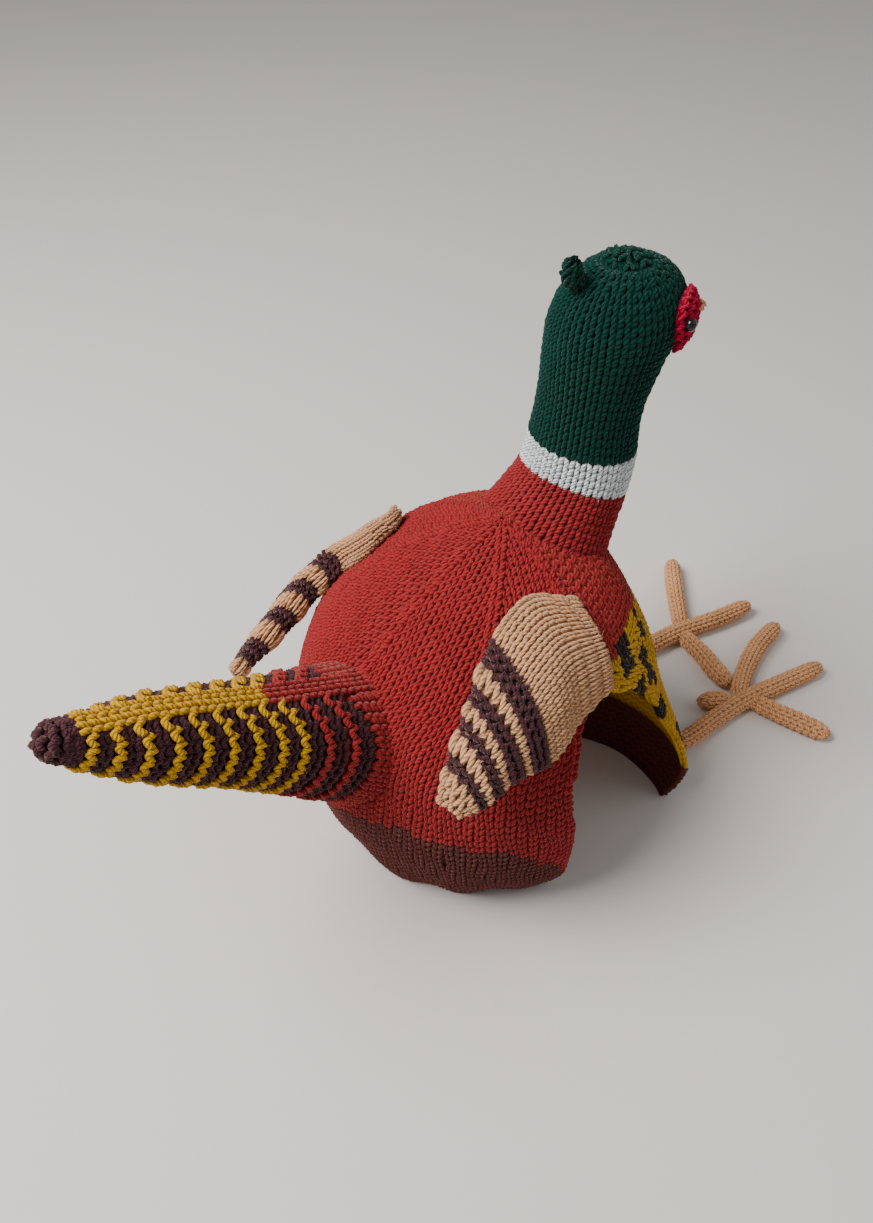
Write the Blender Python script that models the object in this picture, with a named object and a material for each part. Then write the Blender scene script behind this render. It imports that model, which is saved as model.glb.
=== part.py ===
"""Knitted tea cosy in the form of a ring-necked pheasant, standing on its hem.

Metres. +Z up, +X the way the bird faces, origin under the middle of the part.
All tables below are in millimetres and degrees, about the upright axis of the body.
"""
import math

import bmesh
import bpy
from mathutils import Vector

MM = 0.001
SHIFT = (-12.25, 7.91)    # body axis, from the middle of the whole part
GAP = 0.35                # clearance between neighbouring pieces
SEAT = 1.2                # the stuffed pieces' roots stand this far off the body's nominal face
CLOTH = 3.0               # thickness of the knitted body cloth
WING_CLOTH = 2.8
CROWN_LEAN = 10.0         # how far ahead the decreases meet
SEAM_TOP = 152.0

# height and radius of the body's outer face, hem to crown
BODY = (
    (0.0, 57.5), (10.0, 62.6), (25.0, 69.0), (50.0, 74.0), (75.0, 73.4), (100.0, 65.8),
    (120.0, 53.2), (135.0, 38.4), (146.0, 19.0), (152.0, 0.0),
)
# height, angle of the back panel's side edge, angle of the front panel's side edge
SLIT = (
    (0.0, 98.0, 46.0), (20.0, 98.0, 47.0), (45.0, 100.0, 48.0), (70.0, 102.0, 52.0), (88.0, 102.0, 59.0),
    (102.0, 99.0, 69.0), (110.0, 95.0, 81.0), (114.5, 90.3, 89.7), (120.0, 90.0, 90.0), (152.0, 90.0, 90.0),
)
FLARE = {"right": 31.0, "left": 15.0}       # the front panel stands away from a pot's spout and handle
CURL = 4.0                                  # back panel's loose lower corners

# centre x and z, half length, half width, turn and forward tilt of the stuffed neck and head
NECK = (
    (30.0, 128.0, 28.0, 28.0, 0.0, 26.0), (33.5, 137.0, 25.5, 25.5, 0.0, 30.0),
    (40.0, 146.0, 23.0, 22.8, 0.0, 30.0), (45.0, 154.0, 21.4, 21.3, 0.0, 24.0),
    (48.0, 165.0, 20.6, 20.6, 0.0, 14.0), (50.0, 185.0, 19.2, 18.9, -1.0, 8.0),
    (54.0, 202.0, 22.5, 19.7, -3.0, 6.0), (58.0, 214.0, 25.3, 20.3, -6.0, 2.0),
    (59.5, 224.5, 22.8, 17.8, -8.0, 0.0), (59.5, 232.0, 15.6, 12.0, -8.0, 0.0),
    (59.5, 235.8, 6.6, 5.2, -8.0, 0.0),
)
HEAD_TOP = (59.5, 236.8)
FACE_U, FACE_TURN = 0.715, 42.0            # along the neck and head, and round from the beak
FACE_SLANT = 6.0                            # its top lies this much further back
FACE_SIZE = (0.092, 28.0, 3.8)              # half height along the head, half width round it, thickness
EYE = 2.3
EYE_PLACE = (0.735, 67.0, 5.05)             # along the head, round it, height of its centre
BEAK = (0.69, 20.5)                         # along the head, length
CREST = (0.872, 176.0, 10.8, 3.4)           # along the head, round it, length, radius

# centre x and z, radius of the stuffed tail, from its root
TAIL = (
    (-62.0, 87.0, 27.6), (-82.0, 103.0, 22.8), (-107.0, 122.6, 17.7), (-135.0, 143.8, 13.5),
    (-150.0, 154.8, 9.1), (-160.2, 162.6, 6.2),
)
TAIL_TIP = (-163.8, 165.4)

# upper edge point, lower edge point of each wing, from its sewn front edge to its tip
WING_RIGHT = (
    (10.8, -38.0, 136.6, 7.8, -61.0, 113.6), (-2.0, -31.6, 142.2, -10.0, -63.0, 111.6),
    (-12.0, -31.6, 142.6, -20.0, -66.5, 110.0), (-25.5, -35.5, 138.5, -28.5, -67.5, 108.0),
    (-39.0, -42.5, 131.0, -38.0, -66.5, 109.5), (-48.5, -47.5, 125.0, -47.0, -66.0, 109.5),
    (-55.0, -50.0, 119.0, -53.0, -66.0, 107.5), (-61.5, -54.0, 111.5, -58.5, -64.5, 105.5),
    (-65.5, -56.5, 106.0, -63.5, -61.5, 103.5),
)
# the left wing's upper edge is rolled under: middle of the roll, lower edge point, radius of the roll
WING_LEFT = (
    (9.0, 53.5, 117.5, 6.0, 65.0, 101.0, 2.5), (-6.5, 40.5, 133.2, -8.0, 64.5, 101.0, 2.9),
    (-18.0, 41.0, 131.4, -19.0, 67.5, 97.0, 4.4), (-25.0, 46.0, 125.5, -30.0, 70.5, 92.0, 5.2),
    (-30.5, 53.0, 115.5, -40.0, 73.5, 87.0, 5.4), (-39.5, 58.5, 105.5, -48.0, 75.0, 80.0, 5.2),
    (-51.0, 59.5, 96.0, -57.0, 75.0, 74.0, 4.8), (-64.5, 60.0, 87.0, -66.5, 72.0, 71.0, 4.0),
    (-77.0, 59.5, 79.8, -75.5, 65.5, 72.0, 2.4),
)

WING_BOW = {"right": 0.11, "left": 0.05}     # how far each wing swells between its edges, of its depth

CORD_R = 3.7              # knitted cords of the legs and toes
LEG_ROOT = {"leg_right": (-33.0, 9.5), "leg_left": (7.0, 8.0)}     # angle and height at the front hem
# way of each cord along the table after its root: x, y, height of its centre
CORDS = {
    "leg_right": ((86.0, -51.0, 6.6), (98.0, -51.5, 4.6), (112.0, -51.5, 3.8), (131.0, -53.0, 3.8),
                  (155.0, -58.5, 3.8), (180.0, -64.0, 3.8)),
    "toe_right_inner": ((133.9, -48.5, 3.8), (147.0, -41.5, 3.8), (166.0, -35.0, 3.8), (187.0, -32.0, 3.8)),
    "toe_right_outer": ((135.2, -58.2, 3.8), (138.0, -69.0, 3.8), (142.0, -82.0, 3.8), (145.0, -93.0, 3.8)),
    "toe_right_back": ((123.4, -46.5, 3.8), (119.0, -43.0, 3.8), (113.5, -39.0, 3.8)),
    "leg_left": ((72.0, 7.6, 5.0), (85.0, 5.5, 3.9), (104.0, 3.0, 3.8), (126.0, 1.0, 3.8), (144.0, -2.0, 3.8),
                 (166.0, -8.5, 3.8), (188.0, -13.0, 3.8)),
    "toe_left_inner": ((148.6, 1.6, 3.8), (159.0, 13.0, 3.8), (171.0, 25.5, 3.8), (183.0, 37.0, 3.8)),
    "toe_left_outer": ((142.6, -6.4, 3.8), (140.5, -18.0, 3.8), (137.0, -30.0, 3.8), (133.8, -42.0, 3.8)),
}

COLOUR = {
    "back_panel": (0.46, 0.045, 0.035), "front_panel": (0.62, 0.34, 0.02), "neck_and_head": (0.01, 0.07, 0.045),
    "tail": (0.55, 0.30, 0.02), "wing": (0.57, 0.33, 0.17), "face_patch": (0.45, 0.005, 0.03),
    "eye": (0.005, 0.005, 0.006), "beak": (0.62, 0.33, 0.18), "crest": (0.01, 0.06, 0.04),
    "leg": (0.57, 0.33, 0.17), "toe": (0.57, 0.33, 0.17),
}
ROUGH = {"eye": 0.12}


# ---------------------------------------------------------------- small maths
def ease(t):
    t = min(1.0, max(0.0, t))
    return t * t * (3.0 - 2.0 * t)


def along(table, u):
    """A smooth curve through the rows of a table, u from 0 to 1."""
    n = len(table) - 1
    s = min(max(u, 0.0), 1.0) * n
    i = min(int(s), n - 1)
    f = s - i
    rows = [table[min(max(i + k, 0), n)] for k in (-1, 0, 1, 2)]
    out = []
    for a, b, c, d in zip(*rows):
        out.append(0.5 * (2 * b + (c - a) * f + (2 * a - 5 * b + 4 * c - d) * f * f
                          + (3 * b - a - 3 * c + d) * f ** 3))
    return out


def read_off(table, x, column):
    for low, high in zip(table, table[1:]):
        if x <= high[0]:
            t = ease((x - low[0]) / (high[0] - low[0]))
            return low[column] + (high[column] - low[column]) * t
    return table[-1][column]


# ---------------------------------------------------------------- the body's surface
def gathers(angle, z):
    """Soft uneven gathers at the hem and slow waves over the body."""
    a = math.radians(angle)
    hem = (1.0 - ease(z / 48.0)) * (1.1 * math.sin(13 * a + 0.8) + 0.7 * math.sin(7 * a + 2.1))
    return hem + ease(z / 30.0) * ease((150 - z) / 40.0) * 0.8 * math.sin(3 * a + z / 26.0)


def body_point(angle, u, depth=0.0, side=None):
    """A point of the body, u from hem to crown, depth under its outer face."""
    z, r = along(BODY, u)
    z1, r1 = along(BODY, min(u + 0.004, 1.0))
    z0, r0 = along(BODY, max(u - 0.004, 0.0))
    run = math.hypot(r1 - r0, z1 - z0)
    r, out_r, out_z = max(r, 0.0), (z1 - z0) / run, (r0 - r1) / run
    if u > 0.985:
        out_r, out_z = out_r * (1 - u) / 0.015, 1.0
    extra = gathers(angle, z)
    if side == "front":
        reach = FLARE["left" if angle > 0 else "right"]
        extra += reach * ease((82.0 - z) / 78.0) * ease((abs(angle) - 6.0) / 40.0)
    if side == "back":
        loose = 1.0 - min(1.0, (180.0 - abs(180.0 - angle) - read_off(SLIT, z, 1)) / 11.0)
        extra += CURL * max(0.0, loose) ** 2 * (1.0 - ease(z / 34.0))
    rho = r + extra * min(1.0, r / 20.0) - depth * out_r
    a = math.radians(angle)
    lean = CROWN_LEAN * ease((z - 100.0) / 50.0)
    return Vector((rho * math.cos(a) + lean, rho * math.sin(a), z - depth * out_z))


def body_radius(p, clear):
    """How far outside the body's outer face a point lies, less the clearance."""
    if p.z >= SEAM_TOP:
        return p.z - SEAM_TOP + 5.0
    low, high = 0.0, 1.0
    for _ in range(30):
        mid = (low + high) / 2
        low, high = (mid, high) if along(BODY, mid)[0] < p.z else (low, mid)
    z, r = along(BODY, low)
    x = p.x - CROWN_LEAN * ease((z - 100.0) / 50.0)
    a = math.degrees(math.atan2(p.y, x))
    return math.hypot(x, p.y) - r - gathers(a, z) * min(1.0, r / 20.0) - clear


def seat(start, end, clear):
    """Where the line from start, outside the body, to end meets the body."""
    low, high = 0.0, 1.0
    steps = 60
    for k in range(steps + 1):
        if body_radius(start.lerp(end, k / steps), clear) < 0.0:
            low, high = (k - 1) / steps, k / steps
            break
    for _ in range(24):
        mid = (low + high) / 2
        low, high = (low, mid) if body_radius(start.lerp(end, mid), clear) < 0.0 else (mid, high)
    return start.lerp(end, low)


# ---------------------------------------------------------------- making meshes
def finish(name, bm, smooth=True):
    bmesh.ops.remove_doubles(bm, verts=bm.verts, dist=1e-6)
    bmesh.ops.dissolve_degenerate(bm, edges=bm.edges, dist=1e-7)
    bmesh.ops.translate(bm, verts=bm.verts, vec=Vector((SHIFT[0] * MM, SHIFT[1] * MM, 0.0)))
    bmesh.ops.recalc_face_normals(bm, faces=bm.faces)
    mesh = bpy.data.meshes.new(name)
    bm.to_mesh(mesh)
    bm.free()
    for face in mesh.polygons:
        face.use_smooth = smooth
    thing = bpy.data.objects.new(name, mesh)
    bpy.context.scene.collection.objects.link(thing)
    kind = next(key for key in COLOUR if name.startswith(key))
    material = bpy.data.materials.new(name)
    material.use_nodes = True
    shader = material.node_tree.nodes["Principled BSDF"]
    shader.inputs["Base Color"].default_value = (*COLOUR[kind], 1.0)
    shader.inputs["Roughness"].default_value = ROUGH.get(kind, 0.9)
    mesh.materials.append(material)
    return thing


def sheet(name, outer, inner, round_rim=0.9, flat_hem=False):
    """A closed sheet from two grids of points, with a rounded rim all round."""
    bm = bmesh.new()
    rows, cols = len(outer), len(outer[0])
    grids = []
    for grid in (outer, inner):
        grids.append([[bm.verts.new(p * MM) for p in row] for row in grid])
    for side, grid in enumerate(grids):
        for i in range(rows - 1):
            for j in range(cols - 1):
                quad = [grid[i][j], grid[i][j + 1], grid[i + 1][j + 1], grid[i + 1][j]]
                bm.faces.new(quad if side == 0 else quad[::-1])
    ring = [(0, j) for j in range(cols)] + [(i, cols - 1) for i in range(1, rows)]
    ring += [(rows - 1, j) for j in range(cols - 2, -1, -1)] + [(i, 0) for i in range(rows - 2, 0, -1)]
    middle = []
    for i, j in ring:
        a, b = outer[i][j], inner[i][j]
        near = outer[min(max(i, 1), rows - 2)][min(max(j, 1), cols - 2)]
        away = a - near
        away -= away.project(a - b) if (a - b).length > 1e-6 else Vector()
        push = Vector() if (away.length < 1e-6 or (flat_hem and i == 0)) else away.normalized() * round_rim
        middle.append(bm.verts.new(((a + b) / 2 + push) * MM))
    n = len(ring)
    for k in range(n):
        (i, j), (p, q) = ring[k], ring[(k + 1) % n]
        bm.faces.new([grids[0][i][j], middle[k], middle[(k + 1) % n], grids[0][p][q]])
        bm.faces.new([middle[k], grids[1][i][j], grids[1][p][q], middle[(k + 1) % n]])
    return finish(name, bm)


def skin(name, rings, start=None, end=None):
    """A closed solid from rings of points, with a point or a flat cap at each end."""
    bm = bmesh.new()
    made = [[bm.verts.new(p * MM) for p in ring] for ring in rings]
    n = len(rings[0])
    for a, b in zip(made, made[1:]):
        for k in range(n):
            bm.faces.new([a[k], a[(k + 1) % n], b[(k + 1) % n], b[k]])
    for ring, tip in ((made[0], start), (made[-1], end)):
        if tip is None:
            bm.faces.new(ring)
            continue
        point = bm.verts.new(tip * MM)
        for k in range(n):
            bm.faces.new([ring[k], ring[(k + 1) % n], point])
    return finish(name, bm)


def cord(name, way, radius, sides=10):
    """A round knitted cord with domed ends."""
    count = max(8, int(sum((Vector(b) - Vector(a)).length for a, b in zip(way, way[1:])) / 7.0))
    line = [Vector(along(way, k / count)) for k in range(count + 1)]
    rings = []
    for k, p in enumerate(line):
        ahead = (line[min(k + 1, count)] - line[max(k - 1, 0)]).normalized()
        side = Vector((0, 0, 1)).cross(ahead).normalized()
        up = ahead.cross(side)
        frames = [(p, radius)]
        if k == 0:
            frames = [(p + ahead * radius * (1 - c), radius * math.sin(math.acos(c))) for c in (0.93, 0.72, 0.38)]
            frames.append((p + ahead * radius, radius))
        if k == count:
            frames = [(p - ahead * radius, radius)]
            frames += [(p - ahead * radius * (1 - c), radius * math.sin(math.acos(c))) for c in (0.38, 0.72, 0.93)]
        if 0 < k < count and min((p - line[0]).length, (p - line[-1]).length) < radius * 1.3:
            continue
        for centre, r in frames:
            rings.append([centre + (side * math.cos(t) + up * math.sin(t)) * r
                          for t in (2 * math.pi * m / sides for m in range(sides))])
    return skin(name, rings, line[0], line[-1])


# ---------------------------------------------------------------- the two body panels
def body_panels():
    rows = 25
    levels = [k / rows for k in range(rows + 1)]
    for name, side, cols in (("back_panel", "back", 50), ("front_panel", "front", 30)):
        grids = []
        for depth in (0.0, CLOTH):
            grid = []
            for u in levels:
                z = along(BODY, u)[0]
                edge = read_off(SLIT, z, 1 if side == "back" else 2)
                low, high = (edge, 360.0 - edge) if side == "back" else (-edge, edge)
                row = [body_point(low + (high - low) * j / cols, u, depth, side) for j in range(cols + 1)]
                if u == 0.0:
                    for p in row:
                        p.z = 0.0
                push = GAP / 2 + 0.05
                grid.append([p + Vector((-push if side == "back" else push, 0, 0)) for p in row])
            grids.append(grid)
        sheet(name, grids[0], grids[1], 0.0, True)


def hem_front(angle, z):
    """A point just off the front panel's outer face."""
    low = min(range(200), key=lambda k: abs(along(BODY, k / 800)[0] - z)) / 800
    p = body_point(angle, low, -(GAP + 0.6), "front")
    return (p.x, p.y, z)


# ---------------------------------------------------------------- neck, head and what is on it
def neck_point(u, angle, out=0.0):
    """A point of the neck and head, u along it, angle from its front, turned with the head."""
    x, z, length, width, turn, tilt = along(NECK, u)
    ahead = Vector((math.cos(math.radians(tilt)), 0.0, -math.sin(math.radians(tilt))))
    a, t = math.radians(angle), math.radians(turn)
    flat = Vector(((length + out) * math.cos(a), (width + out) * math.sin(a)))
    turned = Vector((flat.x * math.cos(t) - flat.y * math.sin(t), flat.x * math.sin(t) + flat.y * math.cos(t)))
    return Vector((x, 0.0, z)) + ahead * turned.x + Vector((0, 1, 0)) * turned.y


def neck_normal(u, angle):
    a = neck_point(u, angle + 2.0) - neck_point(u, angle - 2.0)
    b = neck_point(min(u + 0.01, 1.0), angle) - neck_point(max(u - 0.01, 0.0), angle)
    return a.cross(b).normalized()


def neck_and_head():
    sides, rings = 32, []
    root = [seat(neck_point(0.14, 360.0 * k / sides), neck_point(0.0, 360.0 * k / sides, 1.5), SEAT)
            for k in range(sides)]
    middle = sum(root, Vector()) / sides
    for part in (0.25, 0.5, 0.75):
        ring = []
        for p in root:
            q = middle.lerp(p, part)
            ring.append(seat(q + Vector((5, 0, 30)), q - Vector((5, 0, 30)), SEAT))
        rings.append(ring)
    rings.append(root)
    rings += [[neck_point(u, 360.0 * k / sides) for k in range(sides)]
              for u in [0.17 + 0.83 * k / 22 for k in range(23)]]
    start = seat(middle + Vector((5, 0, 30)), middle - Vector((5, 0, 30)), SEAT)
    skin("neck_and_head", rings, start, Vector((HEAD_TOP[0], 0.0, HEAD_TOP[1])))


def face():
    tall, wide, thick = FACE_SIZE
    for name, sign in (("right", -1), ("left", 1)):
        sides, outer, inner = 20, [], []
        for share in (0.25, 0.5, 0.72, 0.9, 1.0):
            a, b = [], []
            for k in range(sides):
                t = 2 * math.pi * k / sides
                u = FACE_U + tall * share * math.sin(t)
                turn = sign * (FACE_TURN + FACE_SLANT * share * math.sin(t)) + wide * share * math.cos(t)
                normal = neck_normal(u, turn)
                lift = thick * math.sqrt(max(0.0, 1.12 - share * share))
                a.append(neck_point(u, turn) + normal * (GAP + 0.15 + lift))
                b.append(neck_point(u, turn) + normal * (GAP + 0.15))
            outer.append(a)
            inner.append(b)
        normal = neck_normal(FACE_U, sign * FACE_TURN)
        base = neck_point(FACE_U, sign * FACE_TURN)
        top = base + normal * (GAP + 0.15 + thick * 1.06)
        skin("face_patch_" + name, inner + outer[::-1], base + normal * (GAP + 0.15), top)
        u, turn = EYE_PLACE[0], sign * EYE_PLACE[1]
        normal = neck_normal(u, turn)
        centre = neck_point(u, turn) + normal * EYE_PLACE[2]
        bead = bmesh.new()
        bmesh.ops.create_uvsphere(bead, u_segments=16, v_segments=10, radius=EYE * MM)
        for v in bead.verts:
            shift = Vector(v.co)
            v.co = shift - normal * shift.dot(normal) * 0.2 + centre * MM
        finish("eye_" + name, bead)


def beak():
    u0, length = BEAK
    sides, rings = 12, []
    foot = neck_point(u0, 0.0) + neck_normal(u0, 0.0) * (GAP + 0.25)
    tip = neck_point(u0, 0.0) + neck_normal(u0, 0.0) * length
    for share, width in ((0.0, 1.0), (0.3, 0.9), (0.6, 0.74), (0.8, 0.56), (0.93, 0.34)):
        ring = []
        for k in range(sides):
            t = 2 * math.pi * k / sides
            edge = neck_point(u0 + 0.034 * math.sin(t), 9.5 * math.cos(t)) + neck_normal(u0, 0.0) * (GAP + 0.25)
            ring.append(foot.lerp(tip, share) + (edge - foot) * width)
        rings.append(ring)
    skin("beak", rings, foot, tip)


def crest():
    u, turn, length, radius = CREST
    normal = neck_normal(u, turn)
    root = neck_point(u, turn) + normal * (GAP + 0.2)
    tip = root + (normal + Vector((0.1, -0.25, 0.55))).normalized() * length
    cord("crest", (root, root + normal * length * 0.45, tip), radius, 12)


# ---------------------------------------------------------------- tail and wings
def tail():
    sides, rings = 30, []

    def ring_at(u):
        x, z, r = along(TAIL, u)
        x1, z1 = along(TAIL, min(u + 0.01, 1.0))[:2]
        x0, z0 = along(TAIL, max(u - 0.01, 0.0))[:2]
        up = Vector((z0 - z1, 0.0, x1 - x0)).normalized() * -1.0
        return [Vector((x, 0, z)) + up * r * math.cos(t) + Vector((0, 1, 0)) * r * math.sin(t)
                for t in (2 * math.pi * k / sides for k in range(sides))]

    first = ring_at(0.2)
    back = ring_at(0.0)
    root = [seat(p, p + (q - p) * 2.2, SEAT) for p, q in zip(first, back)]
    middle = sum(root, Vector()) / sides
    for part in (0.25, 0.5, 0.75):
        ring = []
        for p in root:
            q = middle.lerp(p, part)
            ring.append(seat(q + Vector((-40, 0, 8)), q + Vector((50, 0, -8)), SEAT))
        rings.append(ring)
    rings.append(root)
    rings += [ring_at(0.2 + 0.8 * k / 18) for k in range(19)]
    start = seat(middle + Vector((-40, 0, 8)), middle + Vector((50, 0, -8)), SEAT)
    skin("tail", rings, start, Vector((TAIL_TIP[0], 0.0, TAIL_TIP[1])))


def wing_point(table, s, t):
    """A point of a wing's middle face: s from its front edge to its tip, t from its upper to its lower edge."""
    x0, y0, z0, x1, y1, z1 = along(table, s)
    p = Vector((x0, y0, z0)).lerp(Vector((x1, y1, z1)), t)
    bow = math.sin(math.pi * t) * (Vector((x1, y1, z1)) - Vector((x0, y0, z0))).length
    bow *= WING_BOW["left" if y0 > 0 else "right"]
    return p + Vector((0.0, bow * (1 if y0 > 0 else -1), bow))


def wing_right():
    rows, cols = 18, 12
    outer, inner = [], []
    for i in range(rows + 1):
        a, b = [], []
        for j in range(cols + 1):
            s, t = i / rows, j / cols
            p = wing_point(WING_RIGHT, s, t)
            ds = wing_point(WING_RIGHT, min(s + 0.02, 1), t) - wing_point(WING_RIGHT, max(s - 0.02, 0), t)
            dt = wing_point(WING_RIGHT, s, min(t + 0.02, 1)) - wing_point(WING_RIGHT, s, max(t - 0.02, 0))
            normal = ds.cross(dt).normalized()
            if normal.y > 0:
                normal = -normal
            for _ in range(12):
                short = 0.25 - body_radius(p - normal * WING_CLOTH / 2, GAP)
                if short <= 0:
                    break
                p = p + normal * (short + 0.05)
            a.append(p + normal * WING_CLOTH / 2)
            b.append(p - normal * WING_CLOTH / 2)
        outer.append(a)
        inner.append(b)
    sheet("wing_right", outer, inner, 0.8)


def rolled_ring(s):
    """Once round the left wing: up its outer face, over the rolled edge and down its inner face."""
    row = along(WING_LEFT, s)
    middle, low, roll = Vector(row[:3]), Vector(row[3:6]), row[6]
    ahead = Vector(along(WING_LEFT, min(s + 0.03, 1))[:3]) - Vector(along(WING_LEFT, max(s - 0.03, 0))[:3])
    down = (low - middle).normalized()
    out = ahead.cross(down).normalized()
    out = -out if out.y < 0 else out
    depth, cols, outer, inner = (low - middle).length, 10, [], []
    for j in range(cols + 1):
        t = j / cols
        p = (middle + out * roll).lerp(low + out * WING_CLOTH / 2, t)
        p += out * WING_BOW["left"] * depth * math.sin(math.pi * t)
        thick = WING_CLOTH + (2 * roll - WING_CLOTH) * (1 - ease(t * depth / (2.4 * roll)))
        for _ in range(12):
            short = 0.25 - body_radius(p - out * thick, GAP)
            if short <= 0:
                break
            p = p + out * (short + 0.05)
        outer.append(p)
        inner.append(p - out * thick)
    middle = (outer[0] + inner[0]) / 2
    over = [middle + (out * math.cos(a) - down * math.sin(a)) * roll
            for a in (math.pi * k / 6 for k in range(1, 6))]
    return outer[::-1] + over + inner


def wing_left():
    rows = 20
    rings = [rolled_ring(k / rows) for k in range(rows + 1)]
    for end, beside in ((0, 1), (-1, -2)):
        middle = sum(rings[end], Vector()) / len(rings[end])
        away = (middle - sum(rings[beside], Vector()) / len(rings[beside])).normalized()
        cap = [middle.lerp(p, 0.72) + away * 0.9 for p in rings[end]]
        rings = [cap] + rings if end == 0 else rings + [cap]
    skin("wing_left", rings)


for thing in list(bpy.data.objects):
    bpy.data.objects.remove(thing)
body_panels()
neck_and_head()
face()
beak()
crest()
tail()
wing_right()
wing_left()
for cord_name, cord_way in CORDS.items():
    if cord_name in LEG_ROOT:
        cord_way = (hem_front(*LEG_ROOT[cord_name]), *cord_way)
    cord(cord_name, cord_way, CORD_R)
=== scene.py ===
# %% [markdown]
# # A hand-knitted tea cosy, stitch by stitch
# The real cosy is wool all over: a domed body in two halves that are open at the sides for a pot's
# spout and handle, a stuffed neck and tail, two small wings, and feet of narrow knitted cord.
# Its whole look is its stitches, so this lesson builds them as real loops of yarn.
# A thin plain cloth lies under them and closes the gaps.

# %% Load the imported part
import bisect
import math
import random

import bmesh
import bpy
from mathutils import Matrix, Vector


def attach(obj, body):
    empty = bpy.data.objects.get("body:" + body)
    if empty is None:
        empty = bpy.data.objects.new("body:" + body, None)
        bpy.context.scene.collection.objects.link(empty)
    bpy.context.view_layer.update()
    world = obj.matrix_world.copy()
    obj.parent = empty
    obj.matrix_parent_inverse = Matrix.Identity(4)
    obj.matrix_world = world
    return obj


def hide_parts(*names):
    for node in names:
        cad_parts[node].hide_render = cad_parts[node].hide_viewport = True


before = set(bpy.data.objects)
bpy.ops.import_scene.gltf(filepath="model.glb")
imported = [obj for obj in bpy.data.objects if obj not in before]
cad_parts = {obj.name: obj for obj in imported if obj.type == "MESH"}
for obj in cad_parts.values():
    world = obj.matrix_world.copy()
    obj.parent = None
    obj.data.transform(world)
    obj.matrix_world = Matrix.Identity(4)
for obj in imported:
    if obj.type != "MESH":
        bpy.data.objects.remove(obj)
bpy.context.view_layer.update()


def stand(name, data):
    """Puts one new object into the scene."""
    thing = bpy.data.objects.new(name, data)
    bpy.context.scene.collection.objects.link(thing)
    return thing


# %% [markdown]
# ## The camera
# It looks down at the bird's back from behind its right side, from less than half a metre away,
# which is what makes the tail large and the head lean over the body.

# %% Place the camera
IMAGE_TALL = 1223
FOCAL_PIXELS = 1000.0
SENSOR = 36.0
camera_data = bpy.data.cameras.new("camera")
camera_data.sensor_fit = "VERTICAL"
camera_data.sensor_height = SENSOR
camera_data.lens = SENSOR * FOCAL_PIXELS / IMAGE_TALL
camera_data.clip_start = 0.01
camera = stand("camera", camera_data)
camera.location = (-0.20035, -0.19089, 0.3837)
camera.rotation_euler = (math.radians(45.0), 0.0, math.radians(-40.0))
bpy.context.scene.camera = camera
print("lens:", round(camera_data.lens, 2))

# %% [markdown]
# ## The cosy's own measures
# These tables are the ones that the solid part was drawn from, in millimetres and degrees about
# the body's upright axis, so every stitch lands on the part's own surface. A row of each reads:
# BODY height, radius; SLIT height, angle of the back panel's edge, of the front panel's edge;
# NECK x, z, half length, half width, turn, tilt; TAIL x, z, radius; a wing's upper edge x, y, z and
# its lower edge x, y, z, with the radius of the rolled edge on the left; a cord x, y, z.

# %% Shape tables
MM = 0.001
SHIFT = Vector((-12.25, 7.91, 0.0))    # body axis, from the middle of the whole part
GAP = 0.35                             # between two pieces that are sewn together
CROWN_LEAN = 10.0                      # how far the crown leans forward
SEAM_TOP = 152.0                       # height of the crown
FLARE = {"right": 31.0, "left": 15.0}  # how far the breast swings out at its lower corners
CURL = 4.0                             # and the back panel at its own
BODY = (
    (0.0, 57.5), (10.0, 62.6), (25.0, 69.0), (50.0, 74.0), (75.0, 73.4), (100.0, 65.8),
    (120.0, 53.2), (135.0, 38.4), (146.0, 19.0), (152.0, 0.0),
)
SLIT = (
    (0.0, 98.0, 46.0), (20.0, 98.0, 47.0), (45.0, 100.0, 48.0), (70.0, 102.0, 52.0), (88.0, 102.0, 59.0),
    (102.0, 99.0, 69.0), (110.0, 95.0, 81.0), (114.5, 90.3, 89.7), (120.0, 90.0, 90.0), (152.0, 90.0, 90.0),
)
NECK = (
    (30.0, 128.0, 28.0, 28.0, 0.0, 26.0), (33.5, 137.0, 25.5, 25.5, 0.0, 30.0),
    (40.0, 146.0, 23.0, 22.8, 0.0, 30.0), (45.0, 154.0, 21.4, 21.3, 0.0, 24.0),
    (48.0, 165.0, 20.6, 20.6, 0.0, 14.0), (50.0, 185.0, 19.2, 18.9, -1.0, 8.0),
    (54.0, 202.0, 22.5, 19.7, -3.0, 6.0), (58.0, 214.0, 25.3, 20.3, -6.0, 2.0),
    (59.5, 224.5, 22.8, 17.8, -8.0, 0.0), (59.5, 232.0, 15.6, 12.0, -8.0, 0.0),
    (59.5, 235.8, 6.6, 5.2, -8.0, 0.0),
)
HEAD_TOP = (59.5, 236.8)
FACE_U, FACE_TURN, FACE_SLANT = 0.715, 42.0, 6.0
FACE_SIZE = (0.092, 28.0, 3.8)         # half height along the neck, half width in degrees, thickness
BEAK = (0.69, 20.5)                    # place up the neck, length
CREST = (0.872, 176.0, 10.8, 3.4)      # place up the neck, angle, length, radius
TAIL = (
    (-62.0, 87.0, 27.6), (-82.0, 103.0, 22.8), (-107.0, 122.6, 17.7), (-135.0, 143.8, 13.5),
    (-150.0, 154.8, 9.1), (-160.2, 162.6, 6.2),
)
TAIL_TIP = (-163.8, 165.4)
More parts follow.
